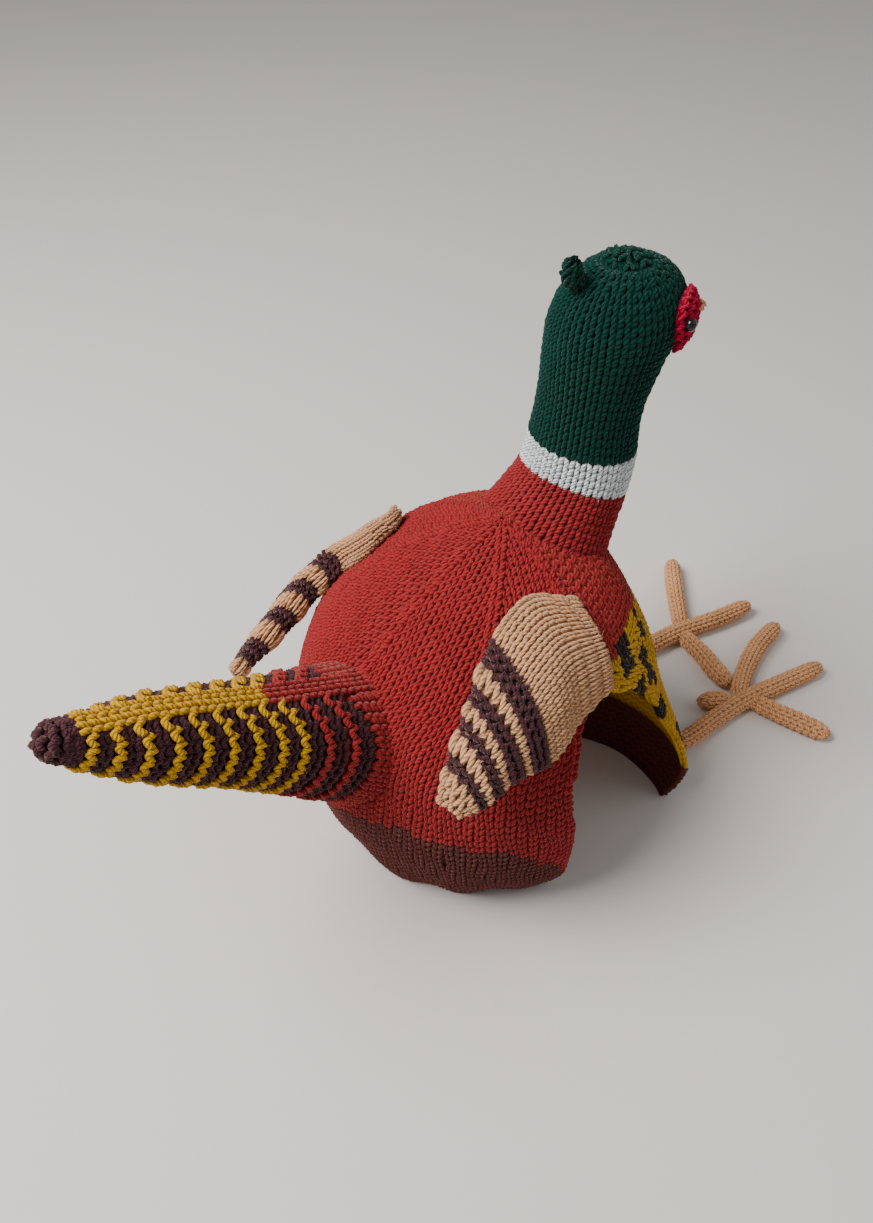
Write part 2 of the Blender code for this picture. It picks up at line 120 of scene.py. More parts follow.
WING_RIGHT = (
    (10.8, -38.0, 136.6, 7.8, -61.0, 113.6), (-2.0, -31.6, 142.2, -10.0, -63.0, 111.6),
    (-12.0, -31.6, 142.6, -20.0, -66.5, 110.0), (-25.5, -35.5, 138.5, -28.5, -67.5, 108.0),
    (-39.0, -42.5, 131.0, -38.0, -66.5, 109.5), (-48.5, -47.5, 125.0, -47.0, -66.0, 109.5),
    (-55.0, -50.0, 119.0, -53.0, -66.0, 107.5), (-61.5, -54.0, 111.5, -58.5, -64.5, 105.5),
    (-65.5, -56.5, 106.0, -63.5, -61.5, 103.5),
)
WING_LEFT = (
    (9.0, 53.5, 117.5, 6.0, 65.0, 101.0, 2.5), (-6.5, 40.5, 133.2, -8.0, 64.5, 101.0, 2.9),
    (-18.0, 41.0, 131.4, -19.0, 67.5, 97.0, 4.4), (-25.0, 46.0, 125.5, -30.0, 70.5, 92.0, 5.2),
    (-30.5, 53.0, 115.5, -40.0, 73.5, 87.0, 5.4), (-39.5, 58.5, 105.5, -48.0, 75.0, 80.0, 5.2),
    (-51.0, 59.5, 96.0, -57.0, 75.0, 74.0, 4.8), (-64.5, 60.0, 87.0, -66.5, 72.0, 71.0, 4.0),
    (-77.0, 59.5, 79.8, -75.5, 65.5, 72.0, 2.4),
)
WING_BOW = {"right": 0.11, "left": 0.05}   # how far a wing bows out, by its depth
WING_CLOTH = 2.8                       # thickness
EDGE_ROLL = 1.9                        # radius of the right wing's upper edge
CORD_R = 3.7
LEG_ROOT = {"leg_right": (-33.0, 9.5), "leg_left": (7.0, 8.0)}     # angle and height of its place on the hem
CORDS = {
    "leg_right": ((86.0, -51.0, 6.6), (98.0, -51.5, 4.6), (112.0, -51.5, 3.8), (131.0, -53.0, 3.8),
                  (155.0, -58.5, 3.8), (180.0, -64.0, 3.8)),
    "toe_right_inner": ((130.8, -52.6, 3.9), (133.9, -48.5, 3.8), (147.0, -41.5, 3.8),
                        (166.0, -35.0, 3.8), (187.0, -32.0, 3.8)),
    "toe_right_outer": ((133.6, -54.2, 3.9), (135.2, -58.2, 3.8), (138.0, -69.0, 3.8),
                        (142.0, -82.0, 3.8), (145.0, -93.0, 3.8)),
    "toe_right_back": ((125.0, -51.6, 3.9), (123.4, -46.5, 3.8), (119.0, -43.0, 3.8), (113.5, -39.0, 3.8)),
    "leg_left": ((72.0, 7.6, 5.0), (85.0, 5.5, 3.9), (104.0, 3.0, 3.8), (126.0, 1.0, 3.8), (144.0, -2.0, 3.8),
                 (166.0, -8.5, 3.8), (188.0, -13.0, 3.8)),
    "toe_left_inner": ((145.2, -2.0, 3.9), (148.6, 1.6, 3.8), (159.0, 13.0, 3.8),
                       (171.0, 25.5, 3.8), (183.0, 37.0, 3.8)),
    "toe_left_outer": ((143.4, -2.6, 3.9), (142.6, -6.4, 3.8), (140.5, -18.0, 3.8),
                       (137.0, -30.0, 3.8), (133.8, -42.0, 3.8)),
}
print("tables ready")


# %% Small maths
TURN = 2 * math.pi


def home(p):
    """From the bird's own millimetres to metres about the middle of the part."""
    return (Vector(p) + SHIFT) * MM


def ease(t):
    t = min(1.0, max(0.0, t))
    return t * t * (3.0 - 2.0 * t)


def along(table, u):
    """A smooth curve through the rows of a table, u from 0 to 1."""
    n = len(table) - 1
    s = min(max(u, 0.0), 1.0) * n
    i = min(int(s), n - 1)
    f = s - i
    rows = [table[min(max(i + k, 0), n)] for k in (-1, 0, 1, 2)]
    out = []
    for a, b, c, d in zip(*rows):
        out.append(0.5 * (2 * b + (c - a) * f + (2 * a - 5 * b + 4 * c - d) * f * f
                          + (3 * b - a - 3 * c + d) * f ** 3))
    return out


def read_off(table, x, column=1):
    """A column of a table at x, eased between its rows."""
    for low, high in zip(table, table[1:]):
        if x <= high[0]:
            t = ease((x - low[0]) / (high[0] - low[0]))
            return low[column] + (high[column] - low[column]) * t
    return table[-1][column]


def circle(count, shift=0.0):
    """Angles in radians, evenly round a full turn."""
    return [TURN * (k + shift) / count for k in range(count)]


def slope(curve, u, step=0.01):
    """Which way a curve of points runs at u."""
    return curve(min(u + step, 1.0)) - curve(max(u - step, 0.0))


def length_of(line):
    return sum((a - b).length for a, b in zip(line, line[1:]))


def paced(line, count=500):
    """For a curve from 0 to 1: its length, and a function from length along it to its parameter."""
    spots = [Vector(line(k / count)) for k in range(count + 1)]
    runs = [0.0]
    for a, b in zip(spots, spots[1:]):
        runs.append(runs[-1] + (b - a).length)

    def at(length):
        if length <= 0.0:
            return length / (runs[1] or 1.0) / count
        low = min(max(bisect.bisect_right(runs, length) - 1, 0), count - 1)
        high = low + 1
        return (low + (length - runs[low]) / max(runs[high] - runs[low], 1e-9)) / count

    return runs[-1], at


# %% The body's surface
def gathers(angle, z):
    """Soft uneven gathers at the hem and slow waves over the body."""
    a = math.radians(angle)
    hem = (1.0 - ease(z / 48.0)) * (1.1 * math.sin(13 * a + 0.8) + 0.7 * math.sin(7 * a + 2.1))
    return hem + ease(z / 30.0) * ease((150 - z) / 40.0) * 0.8 * math.sin(3 * a + z / 26.0)


def body_point(angle, u, depth=0.0, side=None):
    """A point of the body, u from hem to crown, depth under its outer face."""
    z, r = along(BODY, u)
    z1, r1 = along(BODY, min(u + 0.004, 1.0))
    z0, r0 = along(BODY, max(u - 0.004, 0.0))
    run = math.hypot(r1 - r0, z1 - z0)
    r, out_r, out_z = max(r, 0.0), (z1 - z0) / run, (r0 - r1) / run
    if u > 0.985:
        out_r, out_z = out_r * (1 - u) / 0.015, 1.0
    extra = gathers(angle, z)
    if side == "front":
        reach = FLARE["left" if angle > 0 else "right"]
        extra += reach * ease((82.0 - z) / 78.0) * ease((abs(angle) - 6.0) / 40.0)
    if side == "back":
        loose = 1.0 - min(1.0, (180.0 - abs(180.0 - angle) - read_off(SLIT, z)) / 11.0)
        extra += CURL * max(0.0, loose) ** 2 * (1.0 - ease(z / 34.0))
    rho = r + extra * min(1.0, r / 20.0) - depth * out_r
    a = math.radians(angle)
    lean = CROWN_LEAN * ease((z - 100.0) / 50.0)
    return Vector((rho * math.cos(a) + lean, rho * math.sin(a), z - depth * out_z))


def beyond_body(p, clear=0.0):
    """How far outside the body's outer face a point lies, less the clearance."""
    if p.z >= SEAM_TOP:
        return p.z - SEAM_TOP + 5.0
    low, high = 0.0, 1.0
    for _ in range(26):
        mid = (low + high) / 2
        low, high = (mid, high) if along(BODY, mid)[0] < p.z else (low, mid)
    z, r = along(BODY, low)
    x = p.x - CROWN_LEAN * ease((z - 100.0) / 50.0)
    a = math.degrees(math.atan2(p.y, x))
    return math.hypot(x, p.y) - r - gathers(a, z) * min(1.0, r / 20.0) - clear


body_length, body_at = paced(lambda u: (along(BODY, u)[1], 0.0, along(BODY, u)[0]))
print("hem to crown over the cloth:", round(body_length, 1), "mm")


# %% The neck, the tail and the wings as surfaces
def neck_point(u, angle, out=0.0):
    """A point of the neck and head, u along it, angle from its front."""
    x, z, length, width, turn, tilt = along(NECK, u)
    ahead = Vector((math.cos(math.radians(tilt)), 0.0, -math.sin(math.radians(tilt))))
    a, t = math.radians(angle), math.radians(turn)
    flat = Vector(((length + out) * math.cos(a), (width + out) * math.sin(a)))
    turned = Vector((flat.x * math.cos(t) - flat.y * math.sin(t), flat.x * math.sin(t) + flat.y * math.cos(t)))
    return Vector((x, 0.0, z)) + ahead * turned.x + Vector((0, 1, 0)) * turned.y


def neck_normal(u, angle):
    a = neck_point(u, angle + 2.0) - neck_point(u, angle - 2.0)
    return a.cross(slope(lambda v: neck_point(v, angle), u)).normalized()


def tail_point(u, angle, out=0.0):
    """A point of the tail, u along it, angle in degrees from its upper side."""
    x, z, r = along(TAIL, u)
    x1, z1 = along(TAIL, min(u + 0.01, 1.0))[:2]
    x0, z0 = along(TAIL, max(u - 0.01, 0.0))[:2]
    up = Vector((z0 - z1, 0.0, x1 - x0)).normalized() * -1.0
    a = math.radians(angle)
    return Vector((x, 0, z)) + (up * math.cos(a) + Vector((0, 1, 0)) * math.sin(a)) * (r + out)


def wing_point(s, t):
    """A point of the right wing's middle face: s from front edge to tip, t from upper to lower edge."""
    row = along(WING_RIGHT, s)
    top, low = Vector(row[:3]), Vector(row[3:])
    bow = math.sin(math.pi * t) * (low - top).length * WING_BOW["right"]
    return top.lerp(low, t) + Vector((0.0, -bow, bow))


def clear_of_body(p, out, back):
    """Moves a wing's point outwards until the wing's inner side, a way back from it, clears the body."""
    for _ in range(12):
        short = 0.25 - beyond_body(p - out * back, GAP)
        if short <= 0:
            break
        p = p + out * (short + 0.05)
    return p


def flat_wing(s, t):
    """The right wing's outer face, its ways outward and down, and the radius of its upper edge."""
    p = wing_point(s, t)
    down = slope(lambda v: wing_point(s, v), t, 0.02)
    out = slope(lambda v: wing_point(v, t), s, 0.02).cross(down).normalized()
    out = -out if out.y > 0 else out
    p = clear_of_body(p, out, WING_CLOTH / 2)
    return p + out * WING_CLOTH / 2, out, down.normalized(), EDGE_ROLL


def rolled_wing(s, t):
    """The same for the left wing, whose upper edge is rolled under."""
    row = along(WING_LEFT, s)
    middle, low, roll = Vector(row[:3]), Vector(row[3:6]), row[6]
    ahead = slope(lambda v: Vector(along(WING_LEFT, v)[:3]), s, 0.03)
    down = (low - middle).normalized()
    out = ahead.cross(down).normalized()
    out = -out if out.y < 0 else out
    depth = (low - middle).length
    p = (middle + out * roll).lerp(low + out * WING_CLOTH / 2, t)
    p = p + out * WING_BOW["left"] * depth * math.sin(math.pi * t)
    thick = WING_CLOTH + (2 * roll - WING_CLOTH) * (1 - ease(t * depth / (2.4 * roll)))
    return clear_of_body(p, out, thick), out, down, roll


WING_FACE = {"right": flat_wing, "left": rolled_wing}


def wing_spot(side, s, t, over=0.0, out=0.0):
    """A point on a wing: down its outer face by t, or over its rolled upper edge by some millimetres."""
    s = min(max(s, 0.0), 0.995)
    p, away, down, roll = WING_FACE[side](s, min(max(t, 0.0), 1.0))
    if over <= 0.0:
        return p + away * out
    a = over / roll
    return p - away * roll + (away * math.cos(a) - down * math.sin(a)) * (roll + out)


print("neck base:", [round(v, 1) for v in neck_point(0.2, 180)])

# %% [markdown]
# ## Wools
# Eleven balls of yarn make the bird. Each stitch carries the colour of its own wool, so one material
# can dress a whole piece, and a colour change falls on a stitch, as it does in knitting.

# %% Colours of the wools
def wool_colour(red, green, blue):
    """A colour from 0 to 255 a channel, as seen on a screen, to the linear numbers that Blender mixes."""
    return tuple((c / 255 / 12.92) if c / 255 <= 0.04045 else ((c / 255 + 0.055) / 1.055) ** 2.4
                 for c in (red, green, blue))


WOOLS = {name: wool_colour(*seen) for name, seen in {
    "red": (162, 42, 46), "hem_brown": (98, 50, 47), "dark_brown": (80, 44, 52), "mustard": (216, 162, 24),
    "tan": (230, 176, 132), "sand": (250, 186, 132), "white": (232, 240, 242), "green": (4, 60, 50),
    "crimson": (190, 8, 58), "peach": (240, 172, 130), "black": (34, 30, 36),
}.items()}
print("wools:", ", ".join(WOOLS))

# %% [markdown]
# ## Shader maths that reads as maths
# A small class wraps a socket, so that `1 - ply * 0.4` adds its own Math nodes. Every other node
# comes from one method of the bench.

# %% A bench for making nodes
class Number:
    """A number that changes over a surface."""

    def __init__(self, bench, socket):
        self.bench, self.socket = bench, socket

    def maths(self, operation, *values):
        return self.bench.number("ShaderNodeMath", {"operation": operation}, dict(enumerate(values)))

    def __add__(self, other):
        return self.maths("ADD", self, other)

    def __sub__(self, other):
        return self.maths("SUBTRACT", self, other)

    def __rsub__(self, other):
        return self.maths("SUBTRACT", other, self)

    def __mul__(self, other):
        return self.maths("MULTIPLY", self, other)

    def __pow__(self, other):
        return self.maths("POWER", self, other)

    __radd__, __rmul__ = __add__, __mul__

    def sin(self):
        return self.maths("SINE", self)

    def clamp(self):
        return self.maths("MINIMUM", self.maths("MAXIMUM", self, 0.0), 1.0)


class Bench:
    """Makes and joins the nodes of one tree."""

    def __init__(self, tree):
        self.tree = tree

    def node(self, kind, settings=None, values=None):
        made = self.tree.nodes.new(kind)
        for key, value in (settings or {}).items():
            setattr(made, key, value)
        for key, value in (values or {}).items():
            value = value.socket if isinstance(value, Number) else value
            if isinstance(value, bpy.types.NodeSocket):
                self.tree.links.new(value, made.inputs[key])
            else:
                made.inputs[key].default_value = value
        return made

    def number(self, kind, settings=None, values=None, out=0):
        return Number(self, self.node(kind, settings, values).outputs[out])

    def blend(self, factor, one, other, way="MIX"):
        """Two colours mixed; the sockets 6 and 7 are the Mix node's colours."""
        settings = {"data_type": "RGBA", "blend_type": way}
        return self.node("ShaderNodeMix", settings, {0: factor, 6: one, 7: other}).outputs[2]

    def colour(self, attribute):
        return self.node("ShaderNodeAttribute", {"attribute_name": attribute}).outputs["Color"]

    def mark(self, attribute):
        return self.number("ShaderNodeAttribute", {"attribute_name": attribute}, out=2)

    def own_map(self, name):
        """The two directions of one of the mesh's own maps."""
        uv = self.node("ShaderNodeUVMap", {"uv_map": name}).outputs[0]
        parts = self.node("ShaderNodeSeparateXYZ", None, {0: uv}).outputs
        return Number(self, parts[0]), Number(self, parts[1])

    def noise(self, scale, detail=2.0, place=None):
        place = place or self.node("ShaderNodeTexCoord").outputs["Object"]
        return self.number("ShaderNodeTexNoise", None, {"Vector": place, "Scale": scale, "Detail": detail})

    def paint_shade(self, shade, darkest):
        """The mesh's own wool colour with painted shade: pulled towards black where the shade is low."""
        wool = self.colour("wool")
        return self.blend(shade, self.blend(darkest, wool, (0.0, 0.0, 0.0, 1.0)), wool)

    def bump(self, height, distance):
        values = {"Height": height, "Strength": 0.8, "Distance": distance}
        return self.node("ShaderNodeBump", None, values).outputs[0]

    def surface(self, values):
        shader = self.node("ShaderNodeBsdfPrincipled", None, values)
        self.node("ShaderNodeOutputMaterial", None, {0: shader.outputs[0]})


def new_material(name):
    material = bpy.data.materials.new(name)
    material.use_nodes = True
    material.node_tree.nodes.clear()
    return material, Bench(material.node_tree)


print("bench ready")

# %% [markdown]
# ## Yarn
# Soft double-knitting wool is spun from three thin plies. Up close the plies show as slanting lines
# round the strand, with painted shade in the grooves between them, and loose fibres along them get a
# painted highlight. The colour also paints shade on the strand's sides and where it tucks under. The
# strand's own map runs round it in one direction and along it in the other, so both follow the yarn
# through every bend.

# %% Yarn material
PLIES = 3.0
PLY_TURNS = 1.45               # turns of the plies in two millimetres of yarn
# the pale colour of the painted highlight on loose fibres
FIBRE_HIGHLIGHT = (0.95, 0.88, 0.82, 1.0)


def yarn_material(name, fleck, sheen, tint, painted_side_floor):
    """Yarn by its flecks, its fuzz and the fuzz's tint, and how light the painted shade leaves its sides beside its
    crown.
    """
    material, bench = new_material(name)
    chance, tuck = bench.mark("chance"), bench.mark("tuck")
    round_it, along_it = bench.own_map("strand")
    twist = round_it * PLIES + along_it * PLY_TURNS
    # ply: the plies' slanting lines, with painted shade in the grooves between them
    ply = ((twist * TURN).sin() * 0.5 + 0.5) ** 0.6
    # crown: painted light along the top of the strand and painted shade down its sides
    crown = (((round_it - 1 / 6) * TURN + math.pi / 2).sin() * 0.5 + 0.5) ** 0.7
    stretched = bench.node("ShaderNodeCombineXYZ", None, {0: twist * 5.0, 1: along_it * 0.9, 2: chance * 40.0})
    fibres = bench.noise(1.0, 3.0, stretched.outputs[0])
    patches, fuzz = bench.noise(70.0), bench.noise(2600.0)
    # lightness: painted shade between the plies, with random tone from fibres, patches and each stitch's chance
    light = 0.54 + ply * 0.56 + (fibres - 0.5) * fleck + (patches - 0.5) * 0.22 + (chance - 0.5) * 0.16
    # painted shade where the yarn tucks under and on the strand's sides
    shaded_wool = bench.paint_shade((light * (1 - tuck * 0.40) * (painted_side_floor + crown * (1 - painted_side_floor))).clamp(), 0.86)
    # painted highlight on the loose fibres
    fibre_highlight = ((fibres - 0.56) * 2.6 + (fuzz - 0.60) * 0.9).clamp() * 0.55 * (1 - tuck)
    bench.surface({
        "Base Color": bench.blend(fibre_highlight, shaded_wool, FIBRE_HIGHLIGHT, "SOFT_LIGHT"), "Roughness": 0.88 + (fuzz - 0.5) * 0.12,
        "Normal": bench.bump(ply * 0.70 + fibres * 0.30 + fuzz * 0.22, 0.0006), "Sheen Weight": sheen,
        "Sheen Roughness": 0.45, "Sheen Tint": (*tint, 1.0), "Specular IOR Level": 0.06,
    })
    return material


# each row: flecks, sheen, sheen tint, and how light the painted shade leaves the strand's sides
YARN = {name: yarn_material(name + "_yarn", *looks) for name, *looks in (
    ("body", 0.45, 0.26, (1.0, 0.46, 0.40), 0.43), ("breast", 0.45, 0.25, (1.0, 0.80, 0.50), 0.45),
    ("head", 0.42, 0.14, (0.80, 1.0, 0.94), 0.43), ("tail", 0.45, 0.22, (1.0, 0.80, 0.62), 0.45),
    ("wing", 0.40, 0.30, (1.0, 0.84, 0.70), 0.47), ("foot", 0.50, 0.25, (1.0, 0.80, 0.66), 0.34),
    ("face", 0.40, 0.20, (1.0, 0.50, 0.56), 0.45), ("beak", 0.40, 0.25, (1.0, 0.86, 0.74), 0.45),
)}
print("yarns:", ", ".join(YARN))

# %% [markdown]
# ## The cloth under the stitches
# Behind the loops of real knitting lie their own backs, small horizontal bumps in shadow.
# A thin closed sheet stands for them, in the same wools pulled far towards black as painted shade,
# with more painted shade between its bumps. Its inner face shows the bumps, and its outer face is seen
# only between the loops.

# %% Backing material
def backing_material():
    material, bench = new_material("knitted_backing")
    across, up = bench.own_map("rows")
    bumps = ((up * TURN + (across * TURN).sin() * 1.3).sin() * 0.5 + 0.5) ** 0.7
    fuzz = bench.noise(1500.0, 4.0)
    bench.surface({
        # painted shade: the wool pulled far towards black, more so between the bumps
        "Base Color": bench.paint_shade((0.58 + bumps * 0.35 + (fuzz - 0.5) * 0.35).clamp(), 0.9), "Roughness": 0.93,
        "Normal": bench.bump(bumps * 0.8 + fuzz * 0.3, 0.0008), "Specular IOR Level": 0.10,
    })
    return material


BACKING = backing_material()
print("backing ready")

# %% [markdown]
# ## Two kinds of stitch
# Knitted cloth shows only two faces. The plain side is columns of V shapes, two legs of yarn a
# stitch. The other side is rows of bumps, where one strand waves up and down across the row.
# Each stitch is a short closed strand of few faces, because thousands of them follow.

# %% Strands of yarn
WALE, COURSE = 4.4, 3.6        # width and height of one stitch, in millimetres


def mesh_from(name, bm):
    """Makes a smooth object of finished faces."""
    bmesh.ops.recalc_face_normals(bm, faces=bm.faces)
    mesh = bpy.data.meshes.new(name)
    bm.to_mesh(mesh)
    bm.free()
    mesh.polygons.foreach_set("use_smooth", [True] * len(mesh.polygons))
    return stand(name, mesh)


def strand_mesh(name, strands, sides=6):
    """Closed strands; each row of a strand is x, y, z, radius and how deep it is tucked away, which the yarn darkens
    as painted shade.
    """
    bm = bmesh.new()
    strand_map = bm.loops.layers.uv.new("strand")
    tuck = bm.verts.layers.float.new("tuck")
    for rows in strands:
        line = [Vector(row[:3]) for row in rows]
        rings, runs = [], [0.0]
        for a, b in zip(line, line[1:]):
            runs.append(runs[-1] + (b - a).length / 2.0)
        for i, (p, row) in enumerate(zip(line, rows)):
            ahead = (line[min(i + 1, len(line) - 1)] - line[max(i - 1, 0)]).normalized()
            side = ahead.cross(Vector((0, 0, 1))).normalized()
            up = side.cross(ahead)
            ring = []
            for k in range(sides):
                t = 2 * math.pi * (k + 0.5) / sides
                corner = bm.verts.new((p + (side * math.cos(t) + up * math.sin(t)) * row[3]) * MM)
                corner[tuck] = row[4]
                ring.append(corner)
            rings.append(ring)
        for i in range(len(rings) - 1):
            for k in range(sides):
                m = (k + 1) % sides
                face = bm.faces.new([rings[i][k], rings[i][m], rings[i + 1][m], rings[i + 1][k]])
                marks = ((k, i), (k + 1, i), (k + 1, i + 1), (k, i + 1))
                for loop, (turn, step) in zip(face.loops, marks):
                    loop[strand_map].uv = (turn / sides, runs[step])
        bm.faces.new(rings[0][::-1])
        bm.faces.new(rings[-1])
    return mesh_from(name, bm)


# the right leg of the V, for the body, for the finer tubes and for the tightly arched cord
LEGS = {
    "plain_stitch": ((0.36, -2.75, -0.62, 0.76, 0.8), (0.74, -1.45, 0.06, 1.06, 0.15), (1.18, -0.05, 0.30, 1.17, 0.0),
                     (1.50, 1.15, 0.12, 1.06, 0.1), (1.62, 2.25, -0.78, 0.68, 0.9)),
    "neck_stitch": ((0.52, -2.85, -0.75, 0.66, 0.9), (0.82, -1.45, 0.05, 0.98, 0.15), (1.08, -0.05, 0.25, 1.06, 0.0),
                    (1.30, 1.25, 0.12, 0.98, 0.1), (1.40, 2.45, -0.70, 0.66, 0.9)),
    "cord_stitch": ((0.30, -2.70, -1.10, 0.62, 1.0), (0.74, -1.45, 0.00, 1.02, 0.2), (1.22, -0.05, 0.36, 1.16, 0.0),
                    (1.58, 1.15, 0.14, 1.05, 0.1), (1.72, 2.15, -0.90, 0.64, 1.0)),
}
plain_stitch, neck_stitch, cord_stitch = (
    strand_mesh(name, [leg, [(-row[0], *row[1:]) for row in leg]]) for name, leg in LEGS.items())


def wave_strand(swing, radius, arch=0.28):
    """One strand that swings down and up once across the width of a stitch."""
    return [(WALE * (k / 8 - 0.5) * 1.04, -swing * math.cos(math.pi * k / 4),
             arch - 0.20 * abs(math.sin(math.pi * k / 4)), radius, 0.0) for k in range(9)]


bump_stitch = strand_mesh("bump_stitch", [wave_strand(0.95, 0.98)], 5)
ridge_stitch = strand_mesh("ridge_stitch", [wave_strand(0.95, 1.20, 0.5)], 5)
purl_stitch = strand_mesh("purl_stitch", [wave_strand(0.50, 1.16, 0.2)], 5)
STITCHES = (plain_stitch, neck_stitch, cord_stitch, bump_stitch, ridge_stitch, purl_stitch)
print("faces a stitch:", [len(stitch.data.polygons) for stitch in STITCHES])

# %% [markdown]
# ## Knitting with Geometry Nodes
# A hand-knitted piece is one stitch repeated at every point of a net, so a small node tree does the
# work: it stands the stitch on each point, turns it to the cloth, makes no two quite alike, and
# turns the copies into real mesh.

# %% The knitting tree
def new_tree(name, inputs):
    """A node tree from Geometry to Geometry with more named inputs, its bench and its inlet."""
    tree = bpy.data.node_groups.new(name, "GeometryNodeTree")
    tree.interface.new_socket(name="Geometry", in_out="OUTPUT", socket_type="NodeSocketGeometry")
    for title, kind in {"Geometry": "Geometry", **inputs}.items():
        tree.interface.new_socket(name=title, in_out="INPUT", socket_type="NodeSocket" + kind)
    bench = Bench(tree)
    return tree, bench, bench.node("NodeGroupInput").outputs


def draw(bench, seed, kind, values):
    return bench.node("FunctionNodeRandomValue", {"data_type": kind}, {**values, "Seed": seed}).outputs


def leant(bench, rotation, angles):
    """A rotation with another one, given as three angles, inside it."""
    more = bench.node("FunctionNodeEulerToRotation", None, {0: angles}).outputs[0]
    return bench.node("FunctionNodeRotateRotation", {"rotation_space": "LOCAL"}, {0: rotation, 1: more}).outputs[0]


def copies(bench, points, thing, rotation, scale):
    shape = bench.node("GeometryNodeObjectInfo", None, {0: thing}).outputs["Geometry"]
    return bench.node("GeometryNodeInstanceOnPoints", None, {
        "Points": points, "Instance": shape, "Rotation": rotation, "Scale": scale}).outputs[0]


def realize(bench, geometry, material):
    """The end of every tree: real mesh in one material."""
    real = bench.node("GeometryNodeRealizeInstances", None, {0: geometry}).outputs[0]
    dressed = bench.node("GeometryNodeSetMaterial", None, {"Geometry": real, "Material": material})
    bench.node("NodeGroupOutput", None, {0: dressed.outputs[0]})


def knitting_tree():
    tree, bench, inlet = new_tree("knitting", {"Stitch": "Object", "Yarn": "Material", "Unevenness": "Float",
                                               "Turn": "Float", "Seed": "Int"})

    def named(name):
        return bench.node("GeometryNodeInputNamedAttribute", {"data_type": "FLOAT_VECTOR"}, {"Name": name}).outputs[0]

    def vectors(operation, values):
        return bench.node("ShaderNodeVectorMath", {"operation": operation}, values).outputs[0]

    lie = bench.node("FunctionNodeAxesToRotation", {"primary_axis": "Z", "secondary_axis": "Y"},
                     {0: named("face"), 1: named("wale")}).outputs[0]
    luck = draw(bench, inlet["Seed"], "FLOAT_VECTOR", {0: (-1.0, -1.0, -1.0), 1: (1.0, 1.0, 1.0)})[0]
    lie = leant(bench, lie, vectors("SCALE", {0: luck, "Scale": inlet["Turn"]}))
    swell = vectors("ADD", {0: vectors("SCALE", {0: luck, "Scale": inlet["Unevenness"]}), 1: (1.0, 1.0, 1.0)})
    size = vectors("MULTIPLY", {0: swell, 1: named("size")})
    placed = copies(bench, inlet["Geometry"], inlet["Stitch"], lie, size)
    marked = bench.node("GeometryNodeStoreNamedAttribute", {"data_type": "FLOAT", "domain": "INSTANCE"}, {
        "Geometry": placed, "Name": "chance", "Value": draw(bench, inlet["Seed"], "FLOAT", {})[1]})
    realize(bench, marked.outputs[0], inlet["Yarn"])
    return tree


KNITTING = knitting_tree()
print("tree inputs:", [item.name for item in KNITTING.interface.items_tree if item.in_out == "INPUT"])


# %% Stitches waiting for the needles
LUCK = random.Random(7)
TABLE_CLEAR = 0.0001           # metres; nothing soft goes through the table


def triangles(thing):
    return sum(len(face.vertices) - 2 for face in thing.data.polygons)


class Net:
    """The points of one knitted piece: where each stitch is, how it lies, and its wool."""

    def __init__(self):
        self.spots, self.faces, self.wales, self.sizes, self.wools = [], [], [], [], []

    def add(self, p, across, up, wool, fat=1.0, lift=0.0):
        out = across.cross(up).normalized()
        self.spots.append(home(p + out * lift))
        self.faces.append(out)
        self.wales.append(up.normalized())
        self.sizes.append((across.length / WALE, up.length / COURSE, fat))
        self.wools.append((*WOOLS[wool], 1.0))

    def lay(self, spot, wool, fat=1.0, lift=0.0, flip=False, snug=1.0):
        """One stitch on a surface, given as spot(a, b) about the stitch's own middle."""
        across = (spot(0.5, 0.0) - spot(-0.5, 0.0)) * snug
        up = spot(0.0, 0.5) - spot(0.0, -0.5)
        fat *= LUCK.uniform(0.92, 1.10)
        if across.length > 1e-4 and up.length > 1e-4:
            self.add(spot(0.0, 0.0), -across if flip else across, up, wool, fat, lift)


def grow(thing, tree, values):
    """Runs a node tree on an object and leaves only the resulting mesh, pressed flat where it meets the table."""
    nodes = thing.modifiers.new(tree.name, "NODES")
    nodes.node_group = tree
    for item in tree.interface.items_tree:
        if item.in_out == "INPUT" and item.name in values:
            nodes[item.identifier] = values[item.name]
    graph = bpy.context.evaluated_depsgraph_get()
    grown = bpy.data.meshes.new_from_object(thing.evaluated_get(graph), preserve_all_data_layers=True, depsgraph=graph)
    thing.modifiers.clear()
    old, thing.data = thing.data, grown
    bpy.data.meshes.remove(old)
    for corner in grown.vertices:
        corner.co.z = max(corner.co.z, TABLE_CLEAR)


def knit(name, net, stitch, yarn, unevenness, turn, seed):
    """Turns a net of stitches into one mesh of real yarn."""
    mesh = bpy.data.meshes.new(name)
    mesh.from_pydata(net.spots, [], [])
    rows = {"face": net.faces, "wale": net.wales, "size": net.sizes}
    for key, values in rows.items():
        layer = mesh.attributes.new(key, "FLOAT_VECTOR", "POINT")
        layer.data.foreach_set("vector", [v for value in values for v in value])
    mesh.attributes.new("wool", "FLOAT_COLOR", "POINT").data.foreach_set("color", [v for c in net.wools for v in c])
    thing = stand(name, mesh)
    grow(thing, KNITTING, {"Stitch": stitch, "Yarn": yarn, "Unevenness": unevenness, "Turn": turn, "Seed": seed})
    layers = thing.data.attributes
    for key in rows:
        if key in layers:
            layers.remove(layers[key])
    print(f"{name}: {len(net.spots)} stitches, {triangles(thing)} triangles")
    return thing


